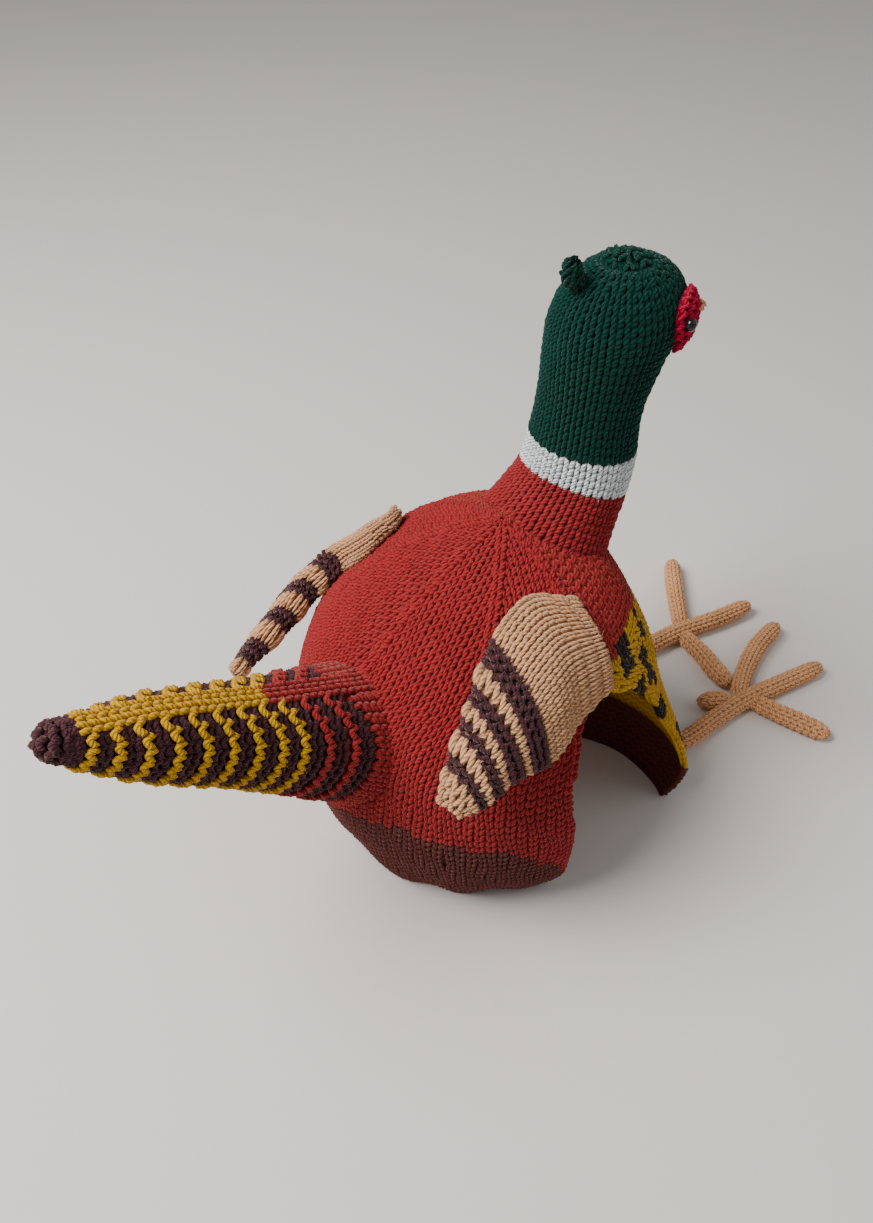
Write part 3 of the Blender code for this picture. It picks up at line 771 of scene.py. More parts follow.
# %% Closed backing shapes
class Backing:
    """A closed shape in the making: its corners carry their wool, its faces the map of its rows."""

    def __init__(self):
        self.bm = bmesh.new()
        self.wool = self.bm.verts.layers.float_color.new("wool")
        self.rows = self.bm.loops.layers.uv.new("rows")

    def corner(self, p, wool):
        made = self.bm.verts.new(home(p))
        made[self.wool] = wool
        return made

    def grid(self, rows, wool_of):
        """Corners for rows of points in millimetres."""
        return [[self.corner(p, (*WOOLS[wool_of(i, j)], 1.0)) for j, p in enumerate(row)]
                for i, row in enumerate(rows)]

    def face(self, corners, marks=()):
        for loop, mark in zip(self.bm.faces.new(corners).loops, marks):
            loop[self.rows].uv = mark

    def finish(self, name):
        bmesh.ops.remove_doubles(self.bm, verts=self.bm.verts, dist=1e-6)
        thing = mesh_from(name, self.bm)
        thing.data.materials.append(BACKING)
        return thing


def cloth(name, outer, inner, wool_of):
    """A closed thin sheet between two grids of points; wool_of takes shares up and across it."""
    made = Backing()
    rows, cols = len(outer) - 1, len(outer[0]) - 1
    grids = [made.grid(grid, lambda i, j: wool_of(i / rows, j / cols)) for grid in (outer, inner)]
    middle = (cols + 1) // 2
    runs = [0.0]
    for low, high in zip(outer, outer[1:]):
        runs.append(runs[-1] + (high[middle] - low[middle]).length / COURSE)
    wide = round(max(length_of(row) for row in outer) / WALE)
    for grid in grids:
        for i in range(rows):
            for j in range(cols):
                marks = ((i, j), (i, j + 1), (i + 1, j + 1), (i + 1, j))
                made.face([grid[a][b] for a, b in marks], [(b / cols * wide, runs[a]) for a, b in marks])
    ring = [(0, j) for j in range(cols + 1)] + [(i, cols) for i in range(1, rows + 1)]
    ring += [(rows, j) for j in range(cols - 1, -1, -1)] + [(i, 0) for i in range(rows - 1, 0, -1)]
    for (i, j), (p, q) in zip(ring, ring[1:] + ring[:1]):
        made.face([grids[0][i][j], grids[1][i][j], grids[1][p][q], grids[0][p][q]])
    return made.finish(name)


def wadding(name, rings, start, end, wool_of):
    """A closed stuffed shape through rings of points, with a point at each end."""
    made = Backing()
    grid = made.grid(rings, wool_of)
    count = len(rings[0])
    for i in range(len(grid) - 1):
        for k in range(count):
            marks = ((k, i), (k + 1, i), (k + 1, i + 1), (k, i + 1))
            made.face([grid[b][a % count] for a, b in marks], marks)
    for ring, tip in ((grid[0], start), (grid[-1], end)):
        point = made.corner(tip, ring[0][made.wool])
        for k in range(count):
            made.face([ring[k], ring[(k + 1) % count], point])
    return made.finish(name)


print("tools ready")

# %% [markdown]
# ## The body
# The body grows in columns from hem to crown. Eight wedges narrow towards the top: within a wedge
# the columns stay parallel, and where they meet the next wedge they are knitted together, which
# leaves a raised line of slanting stitches. Brown wool makes the hem and red wool the rest, with
# mustard and black for the breast.

# %% Which wool is where on the body
HEM_LINE = ((98.0, 20.0), (108.0, 41.0), (122.0, 57.0), (139.0, 63.0), (152.0, 60.0), (162.0, 47.0), (169.0, 39.0),
            (178.0, 46.0), (188.6, 57.0), (208.0, 65.5), (221.4, 63.0), (238.0, 58.0), (252.0, 41.0), (262.0, 20.0))
BREAST_TOP = ((0.0, 108.0), (33.0, 114.0), (62.0, 120.5), (77.0, 117.0), (90.0, 108.0))
# angle from the front, height, half width and half height of the black marks on the breast
BLACK_MARKS = ((48.0, 112.0, 2.6, 6.0), (69.0, 114.0, 5.0, 7.0), (56.0, 100.0, 3.2, 7.0), (30.0, 99.0, 2.6, 5.0),
               (14.0, 91.0, 2.6, 5.0), (0.0, 99.0, 2.6, 5.0), (40.0, 84.0, 3.0, 5.5), (22.0, 74.0, 2.6, 5.0),
               (7.0, 72.0, 2.6, 5.0), (50.0, 68.0, 3.0, 5.5), (33.0, 58.0, 2.6, 5.0), (14.0, 54.0, 2.6, 5.0),
               (0.0, 46.0, 2.6, 5.0), (44.0, 44.0, 2.6, 5.0), (26.0, 40.0, 2.6, 5.0), (64.0, 96.0, 3.0, 6.0),
               (52.0, 88.0, 3.0, 5.0))
MARK_RADIUS = 66.0             # of the breast, to turn the marks' angles into widths
FRONT_HEM = 26.0


def body_wool(side, angle, z):
    if side == "back":
        return "hem_brown" if z < read_off(HEM_LINE, angle) else "red"
    turn = abs(angle)
    if z > read_off(BREAST_TOP, turn):
        return "red"
    if z < FRONT_HEM:
        return "hem_brown"
    for mark, height, wide, tall in BLACK_MARKS:
        if abs(math.radians(turn - mark) * MARK_RADIUS) < wide and abs(z - height) < tall:
            return "black"
    return "mustard"


PANELS = {"back": (52, 4, 82.0), "front": (40, 4, 114.5)}      # columns, wedges, height where narrowing starts
PARTED = {"back": -0.22, "front": 0.22}                        # the panels keep this far apart at the crown
PANEL_YARN = {"back": YARN["body"], "front": YARN["breast"]}
FIRST_ROW = 3.5                                                # millimetres up from the hem
STITCH_DEPTH = 0.95                                            # of a stitch's middle under the outer face
CROWN = 0.9995                                                 # the last place up the body that has a width


def edges(side, z):
    """The angles of a panel's two side edges at a height."""
    edge = read_off(SLIT, z, 1 if side == "back" else 2)
    return (edge, 360.0 - edge) if side == "back" else (-edge, edge)


def panel_point(side, angle, u, depth):
    p = body_point(angle, u, depth, side)
    p.x += PARTED[side]
    return p


def full_width(side):
    """A panel's width, in degrees times radius, where its narrowing starts."""
    narrow = PANELS[side][2]
    u = min(range(1000), key=lambda k: abs(along(BODY, k / 1000)[0] - narrow)) / 1000
    low, high = edges(side, narrow)
    return (high - low) * along(BODY, u)[1]


FULL = {side: full_width(side) for side in PANELS}


def panel_spot(side, wedge, column, length):
    """A stitch's place by wedge, column from the wedge's middle, and length up from the hem."""
    columns, wedges, narrow = PANELS[side]
    u = min(CROWN, body_at(max(length, 0.0)))
    z, r = along(BODY, u)
    low, high = edges(side, z)
    share = column * wedges / columns
    if z > narrow:
        share = column * wedges / columns * FULL[side] / max((high - low) * r, 1e-3)
    angle = low + (high - low) * (wedge + 0.5 + share) / wedges
    if 8.0 < z < 140.0:        # hand-made columns wander a little
        wander = 0.45 * math.sin(z / 7.3 + wedge * 2.1) + 0.35 * math.sin(z / 3.9 + column * 1.7)
        angle += wander * 57.3 / max(r, 20.0)
    return panel_point(side, angle, u, STITCH_DEPTH), angle, z, abs(share)


def wedge_columns(side):
    """Every column of a panel, as its wedge and its place from the wedge's middle."""
    columns, wedges, _ = PANELS[side]
    each = columns // wedges
    return [(wedge, j - (each - 1) / 2) for wedge in range(wedges) for j in range(each)]


print("columns:", {name: row[0] for name, row in PANELS.items()})


# %% Knit the two body panels
def knit_panel(side):
    """The stitches of one panel's columns, then the raised lines where its wedges meet."""
    columns, wedges, narrow = PANELS[side]
    nets = {}
    courses = int((body_length - 3.4) / COURSE) + 1
    top = body_length - 1.0
    for wedge, column in wedge_columns(side):
        outer = (wedge == 0 and column < 0) or (wedge == wedges - 1 and column > 0)
        for k in range(courses):
            length = FIRST_ROW + k * COURSE
            p, angle, z, share = panel_spot(side, wedge, column, length)
            foot = panel_spot(side, wedge, column, length - 0.7 * COURSE)[3] if outer else 0.0
            if share > 0.512 or foot > 0.505 or length > top:      # past half of its wedge a column has ended
                continue
            name = body_wool(side, angle, z)
            part = "hem" if name == "hem_brown" else ("low" if wedge < wedges / 2 else "high")
            nets.setdefault(part, Net()).lay(
                lambda a, b: panel_spot(side, wedge, column + a, length + b * COURSE)[0], name,
                snug=0.90 + 0.06 * ease((z - 60.0) / 60.0))
    for wedge in range(0 if side == "back" else 1, wedges + (1 if side == "back" else 0)):
        for k in range(courses):
            length = FIRST_ROW + (k + 0.5) * COURSE
            z = panel_spot(side, wedge, -columns / wedges / 2, length)[2]
            if z < narrow + 4 or length > top:
                continue

            def seam(a, b):
                here = min(CROWN, body_at(length + b * COURSE))
                low, high = edges(side, along(BODY, here)[0])
                turn = low + (high - low) * wedge / wedges
                turn += math.degrees(a * WALE * 0.9 / max(along(BODY, here)[1], 3.0))
                return body_point(turn, here, STITCH_DEPTH, side)
            nets.setdefault("low", Net()).lay(seam, "red", 1.1, 0.55)
    return [knit(f"{side}_stitches_{part}", net, plain_stitch, PANEL_YARN[side], 0.06, 0.06, seed)
            for seed, (part, net) in enumerate(nets.items(), 3)]


body_pieces = {side: knit_panel(side) for side in PANELS}

# %% Cast-on edge and the edges of the side slits
EDGE_STEP, EDGE_ROOM = 3.3, 130.0      # millimetres between stitches, and of cloth up from the first one
SLIT_TOP = 112.0


def edge_spot(side, end, share):
    """A point just inside a panel's side edge, end 0 or 1, by its share of the way up."""
    u = body_at(4.5 + EDGE_ROOM * share)
    z, r = along(BODY, u)
    angle = edges(side, z)[end] + (1 - 2 * end) * math.degrees(0.9 / r)
    return panel_point(side, angle, u, 1.3), angle, z, u


for side in PANELS:
    net = Net()
    for wedge, column in wedge_columns(side):
        net.lay(lambda a, b: panel_spot(side, wedge, column + a, 1.75 + b * 2.3)[0], "hem_brown", 1.0, 0.1)
    for end in (0, 1):
        total, at = paced(lambda share: edge_spot(side, end, share)[0])
        for k in range(int(total / EDGE_STEP)):
            p, angle, z, u = edge_spot(side, end, at((k + 0.5) * EDGE_STEP))
            if z > SLIT_TOP:
                break
            ahead = edge_spot(side, end, at((k + 1) * EDGE_STEP))[0] - edge_spot(side, end, at(k * EDGE_STEP))[0]
            out = body_point(angle, u, 0.0, side) - body_point(angle, u, 1.3, side)
            net.add(p, ahead, out.cross(ahead).normalized() * 2.6, body_wool(side, angle, z), 0.95)
    body_pieces[side].append(knit(f"{side}_edging", net, bump_stitch, PANEL_YARN[side], 0.08, 0.1, 9))

# %% The cloth under the body's stitches
CLOTH_ROWS = 56


def panel_cloth(side, cols):
    grids = []
    for depth in (1.5, 3.0):
        grid = []
        for i in range(CLOTH_ROWS + 1):
            u = min(body_at(body_length * i / CLOTH_ROWS), 1.0)
            low, high = edges(side, along(BODY, u)[0])
            grid.append([panel_point(side, low + (high - low) * j / cols, u, depth) for j in range(cols + 1)])
        for p in grid[0]:
            p.z = 0.0
        grids.append(grid)

    def wool_here(v, w):
        z = along(BODY, min(body_at(body_length * v), 1.0))[0]
        low, high = edges(side, z)
        return body_wool(side, low + (high - low) * w, z)
    return cloth(f"{side}_cloth", *grids, wool_here)


for side, cols in (("back", 104), ("front", 60)):
    body_pieces[side].insert(0, panel_cloth(side, cols))
print({side: [piece.name for piece in pieces] for side, pieces in body_pieces.items()})

# %% [markdown]
# ## Neck and head
# The neck is picked up round the crown and knitted upwards in a tube: red, a few rows of white for
# the ring, then green. The head swells, and its top is gathered shut.

# %% Knit the neck and head
neck_length, neck_at = paced(lambda u: neck_point(u, 90.0))
NECK_COLUMNS, NECK_WEDGES = 30, 6
COLLAR = (0.305, 0.430)        # the white ring, by its share of the way up
NECK_WIDEST = 0.80             # above it the head narrows, and fewer columns fill each wedge


def neck_round(u):
    """The way round the neck at u."""
    _, _, length, width, _, _ = along(NECK, min(max(u, 0.0), 1.0))
    return 2 * math.pi * math.sqrt((max(length, 0.3) ** 2 + max(width, 0.3) ** 2) / 2)


def neck_wool(u):
    return "red" if u < COLLAR[0] else ("white" if u < COLLAR[1] else "green")


def neck_spot(turn, length, depth):
    u = min(max(neck_at(length), 0.0), 0.999)
    return neck_point(u, turn) - neck_normal(u, turn) * depth


neck_net = Net()
neck_full = neck_round(NECK_WIDEST) / NECK_COLUMNS
each = NECK_COLUMNS // NECK_WEDGES
for k in range(int(neck_length / COURSE)):
    length = (k + 0.5) * COURSE
    u = neck_at(length)
    room = neck_round(u) / NECK_WEDGES / neck_full if u > NECK_WIDEST else each
    kept = 5 if room > 4.0 else (3 if room > 2.0 else 1)
    step = 360.0 / NECK_WEDGES / kept
    for j in range(NECK_COLUMNS):
        wedge, column = j // each, j % each - (each - 1) / 2
        turn = 360.0 * (wedge + 0.5 + column / kept) / NECK_WEDGES
        if abs(column) <= (kept - 1) / 2 and beyond_body(neck_spot(turn, length, 0.0)) >= -2.0:
            neck_net.lay(lambda a, b: neck_spot(turn + a * step, length + b * COURSE, STITCH_DEPTH), neck_wool(u))
neck_stitches = knit("neck_stitches", neck_net, neck_stitch, YARN["head"], 0.05, 0.06, 11)

gather = Net()             # rings of stitches close the top of the head
for ring, (count, reach, rise) in enumerate(((9, 9.8, -2.7), (7, 6.6, -0.6), (5, 3.6, 0.8), (1, 0.0, 1.5))):
    for a in circle(count, 0.5 * ring):
        middle = Vector((HEAD_TOP[0] + reach * math.cos(a), reach * math.sin(a), HEAD_TOP[1] + rise - 1.2))
        away = Vector((math.cos(a), math.sin(a), -0.5)) * 3.2
        gather.add(middle, Vector((0, 0, 1)).cross(away).normalized() * 3.6, -away, "green", 1.1)
head_gather = knit("head_gather", gather, bump_stitch, YARN["head"], 0.1, 0.25, 12)

# %% The wadding inside the neck
ways = [0.02 + 0.97 * k / 39 for k in range(40)]
rings = [[neck_point(u, 10.0 * j, -1.6) for j in range(36)] for u in ways]
neck_core = wadding("neck_wadding", rings, Vector((29.5, 0, 127.0)), Vector((HEAD_TOP[0], 0, HEAD_TOP[1] - 1.6)),
                    lambda i, j: neck_wool(ways[i]))

# %% [markdown]
# ## The tail
# Rows of bumps go round the tail, mustard standing proud of brown, and they bend back from a plain
# mustard spine that runs along the top. Near the body the mustard gives way to red, and the tip is brown.

# %% Knit the tail
tail_length, tail_at = paced(lambda u: (along(TAIL, u)[0], 0.0, along(TAIL, u)[1]))
BARS = ((12.0, ""), (22.7, "red"), (33.6, "red"), (43.9, "mustard"), (52.4, "mustard"), (61.6, "mustard"),
        (71.2, "mustard"), (80.4, "mustard"), (90.0, "mustard"), (99.2, "mustard"), (107.6, "mustard"),
        (115.6, "mustard"))
SPINE_TURN, SPINE_HALF = -7.0, 4.6     # degrees from the top, half width in millimetres
SPINE_END = 118.0
SPINE_RED = 57.0                       # the spine is red up to here
ROOT_ROWS = (-2.0, 1.4, 4.8, 8.2, 11.6)    # plain red rows where the tail leaves the body
TIP_DOME = 5.6


def tail_spot(length, angle, out=0.0):
    """A point of the tail by length along it; past its last ring it closes in a dome."""
    if length <= tail_length:
        return tail_point(tail_at(length), angle, out)
    past = min((length - tail_length) / TIP_DOME, 1.3)
    edge = tail_point(1.0, angle, out)
    middle = (edge + tail_point(1.0, angle + 180.0, out)) / 2
    ahead = (Vector((TAIL_TIP[0], 0, TAIL_TIP[1])) - Vector((-157.5, 0, 160.5))).normalized()
    bend = min(past, 1.0) * math.pi / 2
    return middle + (edge - middle) * math.cos(bend) ** 0.8 + ahead * (TIP_DOME + out) * math.sin(bend)


def swept(length, angle):
    """Rows lean back from the spine: where a row is at an angle round the tail."""
    turn = math.radians(min(abs((angle + 180.0) % 360.0 - 180.0), 180.0))
    r = along(TAIL, tail_at(min(length, tail_length)))[2]
    lean = 0.8 * r * (0.982 - math.sin(min(1.1 * turn, math.pi / 2)))
    return length + lean * ease((tail_length + 4.0 - length) / 30.0)


def off_spine(angle, r):
    """How far an angle lies from the middle of the spine, in millimetres round the tail."""
    return abs(math.radians((angle - SPINE_TURN + 180.0) % 360.0 - 180.0) * r)


def swept_stitch(place, angle, step, tall):
    """The surface about one stitch of a row that leans back from the spine."""
    def spot(a, b):
        turn = angle + a * step
        return tail_spot(swept(place, turn) + b * tall, turn, -STITCH_DEPTH)
    return spot


tail_ridges, tail_bars, tail_spine = Net(), Net(), Net()
rows = []                                  # place, wool, fatness and lift of each row
for (here, wool), (after, _) in zip(BARS, BARS[1:] + ((124.0, ""),)):
    if wool:
        rows.append((here, wool, 1.05, 0.30))
    rows += [(here + (after - here) * 0.35, "dark_brown", 1.1, -0.40),
             (here + (after - here) * 0.66, "dark_brown", 1.1, -0.40)]
place = 119.5
while place < tail_length + TIP_DOME:
    rows.append((place, "dark_brown", 1.0, -0.25))
    place += 3.0
for place, wool, fat, lift in rows:
    r = (tail_spot(place, 90.0) - tail_spot(place, 270.0)).length / 2
    count = max(3, round(2 * math.pi * r / 4.2))
    for k in range(count):
        angle = SPINE_TURN + 360.0 * (k + 0.5) / count
        if off_spine(angle, r) < SPINE_HALF and place < SPINE_END:
            continue
        if beyond_body(tail_spot(swept(place, angle), angle)) < -2.5:
            continue
        net = tail_bars if wool == "dark_brown" else tail_ridges
        net.lay(swept_stitch(place, angle, 360.0 / count, 3.5), wool, fat, lift)
for k in range(34):                        # two columns of plain stitches make the spine
    place = 9.0 + k * 3.3
    step = math.degrees(4.5 / along(TAIL, tail_at(place))[2])
    for angle in (SPINE_TURN - 0.5 * step, SPINE_TURN + 0.5 * step):
        if beyond_body(tail_spot(place, angle)) >= -2.5:
            tail_spine.lay(lambda a, b: tail_spot(place + b * 3.5, angle + a * step, -STITCH_DEPTH),
                           "mustard" if place > SPINE_RED else "red", 1.1, 0.3)
for place in ROOT_ROWS:
    r = along(TAIL, tail_at(place))[2]
    for k in range(36):
        angle = SPINE_TURN + 10.0 * k
        here = swept(place, angle)
        if off_spine(angle, r) > SPINE_HALF and here > 2.2 and beyond_body(tail_spot(here, angle)) > -2.0:
            tail_spine.lay(swept_stitch(place, angle, 10.0, 3.6), "red", 1.0, -0.1)
tail_bar_stitches = knit("tail_bars", tail_bars, purl_stitch, YARN["tail"], 0.16, 0.22, 21)
tail_ridge_stitches = knit("tail_ridges", tail_ridges, ridge_stitch, YARN["tail"], 0.06, 0.07, 23)
tail_spine_stitches = knit("tail_spine", tail_spine, plain_stitch, YARN["tail"], 0.05, 0.06, 22)

# %% The wadding inside the tail
rings = [[tail_spot(length, 10.0 * k, -1.9) for k in range(36)] for length in
         [tail_length * k / 40 for k in range(41)] + [tail_length + TIP_DOME * v for v in (0.3, 0.55, 0.75, 0.88)]]
tail_core = wadding("tail_wadding", rings, Vector((-58.0, 0, 84.0)),
                    Vector((TAIL_TIP[0] + 1.4, 0, TAIL_TIP[1] - 1.0)), lambda i, j: "dark_brown" if i > 10 else "red")

# %% [markdown]
# ## The wings
# Each wing is knitted sideways: thirteen columns of tan run back from its sewn front edge, then bars
# of brown bumps and tan take turns to a tan tip.

# %% Knit the wings
# where the wing starts, then where each bar starts at its upper and at its lower edge
WING_START = {"right": 0.0, "left": 0.095}
WING_BARS = {
    "right": ((0.365, 0.375, "dark_brown"), (0.440, 0.475, "tan"), (0.486, 0.512, "dark_brown"), (0.552, 0.605, "tan"),
              (0.596, 0.655, "dark_brown"), (0.664, 0.742, "tan"), (0.755, 0.795, "dark_brown"), (0.822, 0.855, "tan"),
              (1.0, 1.0, "")),
    "left": ((0.490, 0.505, "dark_brown"), (0.575, 0.590, "tan"), (0.628, 0.645, "dark_brown"), (0.692, 0.707, "tan"),
             (0.745, 0.760, "dark_brown"), (0.810, 0.825, "tan"), (0.868, 0.885, "dark_brown"), (0.948, 0.960, "tan"),
             (1.0, 1.0, "")),
}
ROW_WIDTH = {"front": 3.5, "dark_brown": 2.9, "tan": 5.4}
FRONT_COLUMNS = 13


def wing_wool(side, s, t):
    name = "tan"
    for top, low, wool in WING_BARS[side][:-1]:
        if s >= top + (low - top) * t:
            name = wool
    return name


def wing_measure(side, s):
    """How deep the wing's face is at s, and how far its stitches go over its rolled edge."""
    roll = WING_FACE[side](min(s, 0.995), 0.0)[3]
    return length_of([wing_spot(side, s, k / 8) for k in range(9)]), roll * math.radians(215.0)


def wing_rows(side, reach):
    """Each row of a wing: where it starts and ends at its upper and its lower edge, its wool, if it is in front."""
    start, bars = WING_START[side], WING_BARS[side]
    rows = []
    for (top, low, wool), (top_end, low_end, _) in zip(((start, start, "front"), *bars), bars):
        if wool == "front":
            lines = round(top_end * reach / ROW_WIDTH[wool])
        else:
            lines = max(1, round((top_end - top + low_end - low) / 2 * reach / ROW_WIDTH[wool]))
        for k in range(lines):
            f, g = k / lines, (k + 1) / lines
            rows.append((top + (top_end - top) * f, low + (low_end - low) * f, top + (top_end - top) * g,
                         low + (low_end - low) * g, "tan" if wool == "front" else wool, wool == "front"))
    return rows


def knit_wing(side):
    columns, plain, brown, edging = Net(), Net(), Net(), Net()
    reach = length_of([wing_spot(side, k / 40, 0.4) for k in range(41)])
    start, flip = WING_START[side], side == "right"
    for top, low, top_end, low_end, wool, front in wing_rows(side, reach):
        deep, over = wing_measure(side, (top + low + top_end + low_end) / 4)
        count = FRONT_COLUMNS if front else max(2, round(deep / 3.6))
        wrap = max(1, round(over / 3.2))
        for j in range(-wrap, count):
            def spot(a, b):
                place = j + 0.5 + a
                t = max(place, 0.0) / count
                first, last = top + (low - top) * t, top_end + (low_end - top_end) * t
                return wing_spot(side, first + (last - first) * (0.5 + b), t, max(-place, 0.0) * over / wrap, -0.75)
            if wool == "dark_brown":
                brown.lay(spot, wool, 1.2, 0.35 if j >= 0 else 0.1, flip)
            elif front:
                columns.lay(spot, wool, 1.0, 0.0, flip, 0.88)
            else:
                plain.lay(spot, wool, 1.3 if j < 2 else 1.0, 0.45 if j < 2 else 0.0, flip, 0.97)
    for edge, count in (("low", round(reach / 4.3)), ("front", 11)):
        for k in range(count):
            def spot(a, b):
                share = min(max((k + 0.5 + a) / count, 0.0), 1.0)
                s, t = (max(start, 1 - share), 1.0) if edge == "low" else (start, 1 - share)
                return wing_spot(side, s, t, 0.0, b * 3.0 - 1.5)
            share = 1 - (k + 0.5) / count
            wool = wing_wool(side, share, 1.0) if edge == "low" else "tan"
            edging.lay(spot, wool, 0.95, 0.0, not flip)
    return columns, plain, brown, edging


def wing_cloth(side):
    """The closed cloth inside the wing's stitches: up its outer face, over the roll, down its inner face."""
    start = WING_START[side] + 0.005
    ways = [start + (0.987 - start) * i / 31 for i in range(32)]
    down_it = [j / 12 for j in range(13)]
    rings = []
    for s in ways:
        ring = [wing_spot(side, s, t, 0.0, -1.1) for t in down_it[::-1]]
        p, away, down, roll = WING_FACE[side](s, 0.0)
        ring += [p - away * roll + (away * math.cos(a) - down * math.sin(a)) * (roll - 1.1)
                 for a in (math.pi * k / 5 for k in range(1, 5))]
        deep = wing_measure(side, s)[0]
        for t in down_it:
            q, away, down, roll = WING_FACE[side](s, t)
            thick = WING_CLOTH - 1.9 + (2 * roll - WING_CLOTH - 0.3) * (1 - ease(t * deep / (2.4 * roll)))
            ring.append(q - away * (1.1 + max(0.5, thick)))
        rings.append(ring)
    ends = [sum(ring, Vector()) / len(ring) for ring in (rings[0], rings[-1])]
    names = [[wing_wool(side, s, t) for t in down_it[::-1] + [0.0] * 4 + down_it] for s in ways]
    return wadding(f"wing_{side}_cloth", rings, *ends, lambda i, j: names[i][j])


wing_pieces = {}
for side in ("right", "left"):
    columns, plain, brown, edging = knit_wing(side)
    wing_pieces[side] = [wing_cloth(side)] + [
        knit(f"wing_{side}_{part}", net, stitch, YARN["wing"], unevenness, turn, seed)
        for part, net, stitch, unevenness, turn, seed in (
            ("columns", columns, neck_stitch, 0.05, 0.06, 34), ("plain", plain, plain_stitch, 0.06, 0.08, 31),
            ("bars", brown, purl_stitch, 0.12, 0.12, 32), ("edge", edging, bump_stitch, 0.08, 0.1, 33))]

# %% [markdown]
# ## Legs and toes
# They are knitted cord, six columns round and a little thicker than a pencil, sewn to the front hem
# and laid out flat on the table. The rows close in to a rounded end.

# %% Knit the cords
def hem_front(angle, z):
    low = min(range(200), key=lambda k: abs(along(BODY, k / 800)[0] - z)) / 800
    p = body_point(angle, low, -(GAP + 0.6), "front")
    return (p.x, p.y, z)


def cord_surface(way, radius):
    """Returns the cord's length and spot(length, angle, out), with domed ends."""
    total, at = paced(lambda u: along(way, u), 200)

    def spot(length, angle, out=0.0):
        u = min(max(at(min(max(length, 0.0), total)), 0.0), 1.0)
        p = Vector(along(way, u))
        ahead = slope(lambda v: Vector(along(way, v)), u).normalized()
        side = Vector((0, 0, 1)).cross(ahead).normalized()
        up = ahead.cross(side)
        from_end = min(length, total - length)
        r = radius * math.sqrt(max(0.0, 1 - max(0.0, 1 - max(from_end, 0.0) / (1.5 * radius)) ** 2))
        r *= 0.90 + 0.10 * math.sin(math.pi * min(max(length / total, 0.0), 1.0) ** 1.4)
        a = math.radians(angle)
        return p + (side * math.cos(a) + up * math.sin(a)) * max(r + out, 0.05)
    return total, spot


CORD_SWELL = 1.1            # the soft knitting swells this far past its plain solid
cord_pieces = {}
for name, way in CORDS.items():
    way = [(x, y, z + CORD_SWELL) for x, y, z in way]
    if name in LEG_ROOT:
        way = (hem_front(*LEG_ROOT[name]), *way)
    total, spot_at = cord_surface(way, CORD_R + CORD_SWELL)
    net = Net()
    rows = round((total - 2.6) / 3.3)
    for k in range(rows):
        place = 1.4 + (k + 0.5) * (total - 2.6) / rows
        for j in range(6):
            angle = 60.0 * (j + 0.25)
            net.lay(lambda a, b: spot_at(place + b * 3.4, angle + a * 60.0, -1.35), "sand", 0.92, 0.0, snug=1.1)
    for end in (1.2, total - 1.2):
        for j in range(3):
            net.lay(lambda a, b: spot_at(end + b * 1.8, 120.0 * j + a * 110.0, -1.2), "sand", 0.85, 0.0)
    count = max(8, int(total / 4))
    rings = [[spot_at(0.8 + (total - 1.6) * k / count, 36.0 * j, -1.5) for j in range(10)] for k in range(count + 1)]
    core = wadding(name + "_core", rings, spot_at(0.4, 0, -9), spot_at(total - 0.4, 0, -9), lambda i, j: "sand")
    print(name, "length", round(total, 1))
    cord_pieces[name] = [core, knit(name + "_stitches", net, cord_stitch, YARN["foot"], 0.05, 0.08, 41)]

# %% [markdown]
# ## Face, beak and crest
# A crimson circle of crochet carries each black bead eye. The beak is a small peach cone, and the
# crest is a curl of green cord at the back of the head.

# %% Make the face patches
face_pieces = {}
tall, wide, thick = FACE_SIZE
for name, sign in (("right", -1), ("left", 1)):
    def pad(share, t, out=0.0):
        """A point of the patch by its share of the way out and the angle round it."""
        u = FACE_U + tall * share * math.sin(t)
        turn = sign * (FACE_TURN + FACE_SLANT * share * math.sin(t)) + wide * share * math.cos(t)
        lift = thick * math.sqrt(max(0.0, 1.12 - share * share))
        return neck_point(u, turn) + neck_normal(u, turn) * (GAP + 0.15 + lift + out)
    net = Net()
    for share, count in ((0.14, 3), (0.40, 8), (0.66, 14), (0.90, 19)):
        for t in circle(count, 0.3):
            net.lay(lambda a, b: pad(share + b * 0.27, t + a * TURN / count, -0.7), "crimson", 0.9, 0.0, flip=True)
    rings = [[pad(share, t, -1.3) for t in circle(20)] for share in (0.2, 0.4, 0.6, 0.8, 0.97)]
    rings += [[pad(share, t, -1.3 - thick * math.sqrt(1.12 - share * share)) for t in circle(20)]
              for share in (0.97, 0.5)]
    face_pieces[name] = [
        wadding(f"face_{name}_pad", rings, pad(0, 0, -1.2), neck_point(FACE_U, sign * FACE_TURN, -0.8),
                lambda i, j: "crimson"),
        knit(f"face_{name}_stitches", net, bump_stitch, YARN["face"], 0.08, 0.1, 51)]

# %% Make the beak
u0, beak_length = BEAK
beak_way = neck_normal(u0, 0.0)
beak_tip = neck_point(u0, 0.0) + beak_way * beak_length
beak_foot = neck_point(u0, 0.0) + beak_way * (GAP + 0.25)


def beak_spot(share, t, out=0.0):
    """A point of the beak by its share of the way to the tip and the angle round it."""
    rim = neck_point(u0 + 0.034 * math.sin(t), 9.5 * math.cos(t)) + beak_way * (GAP + 0.25)
    along_it = (beak_tip - beak_foot) * share
    p = beak_foot + (rim - beak_foot) * math.sqrt(max(0.0, 1 - share ** 1.9)) + along_it
    return p + (p - beak_foot - along_it).normalized() * out if share < 0.98 else p


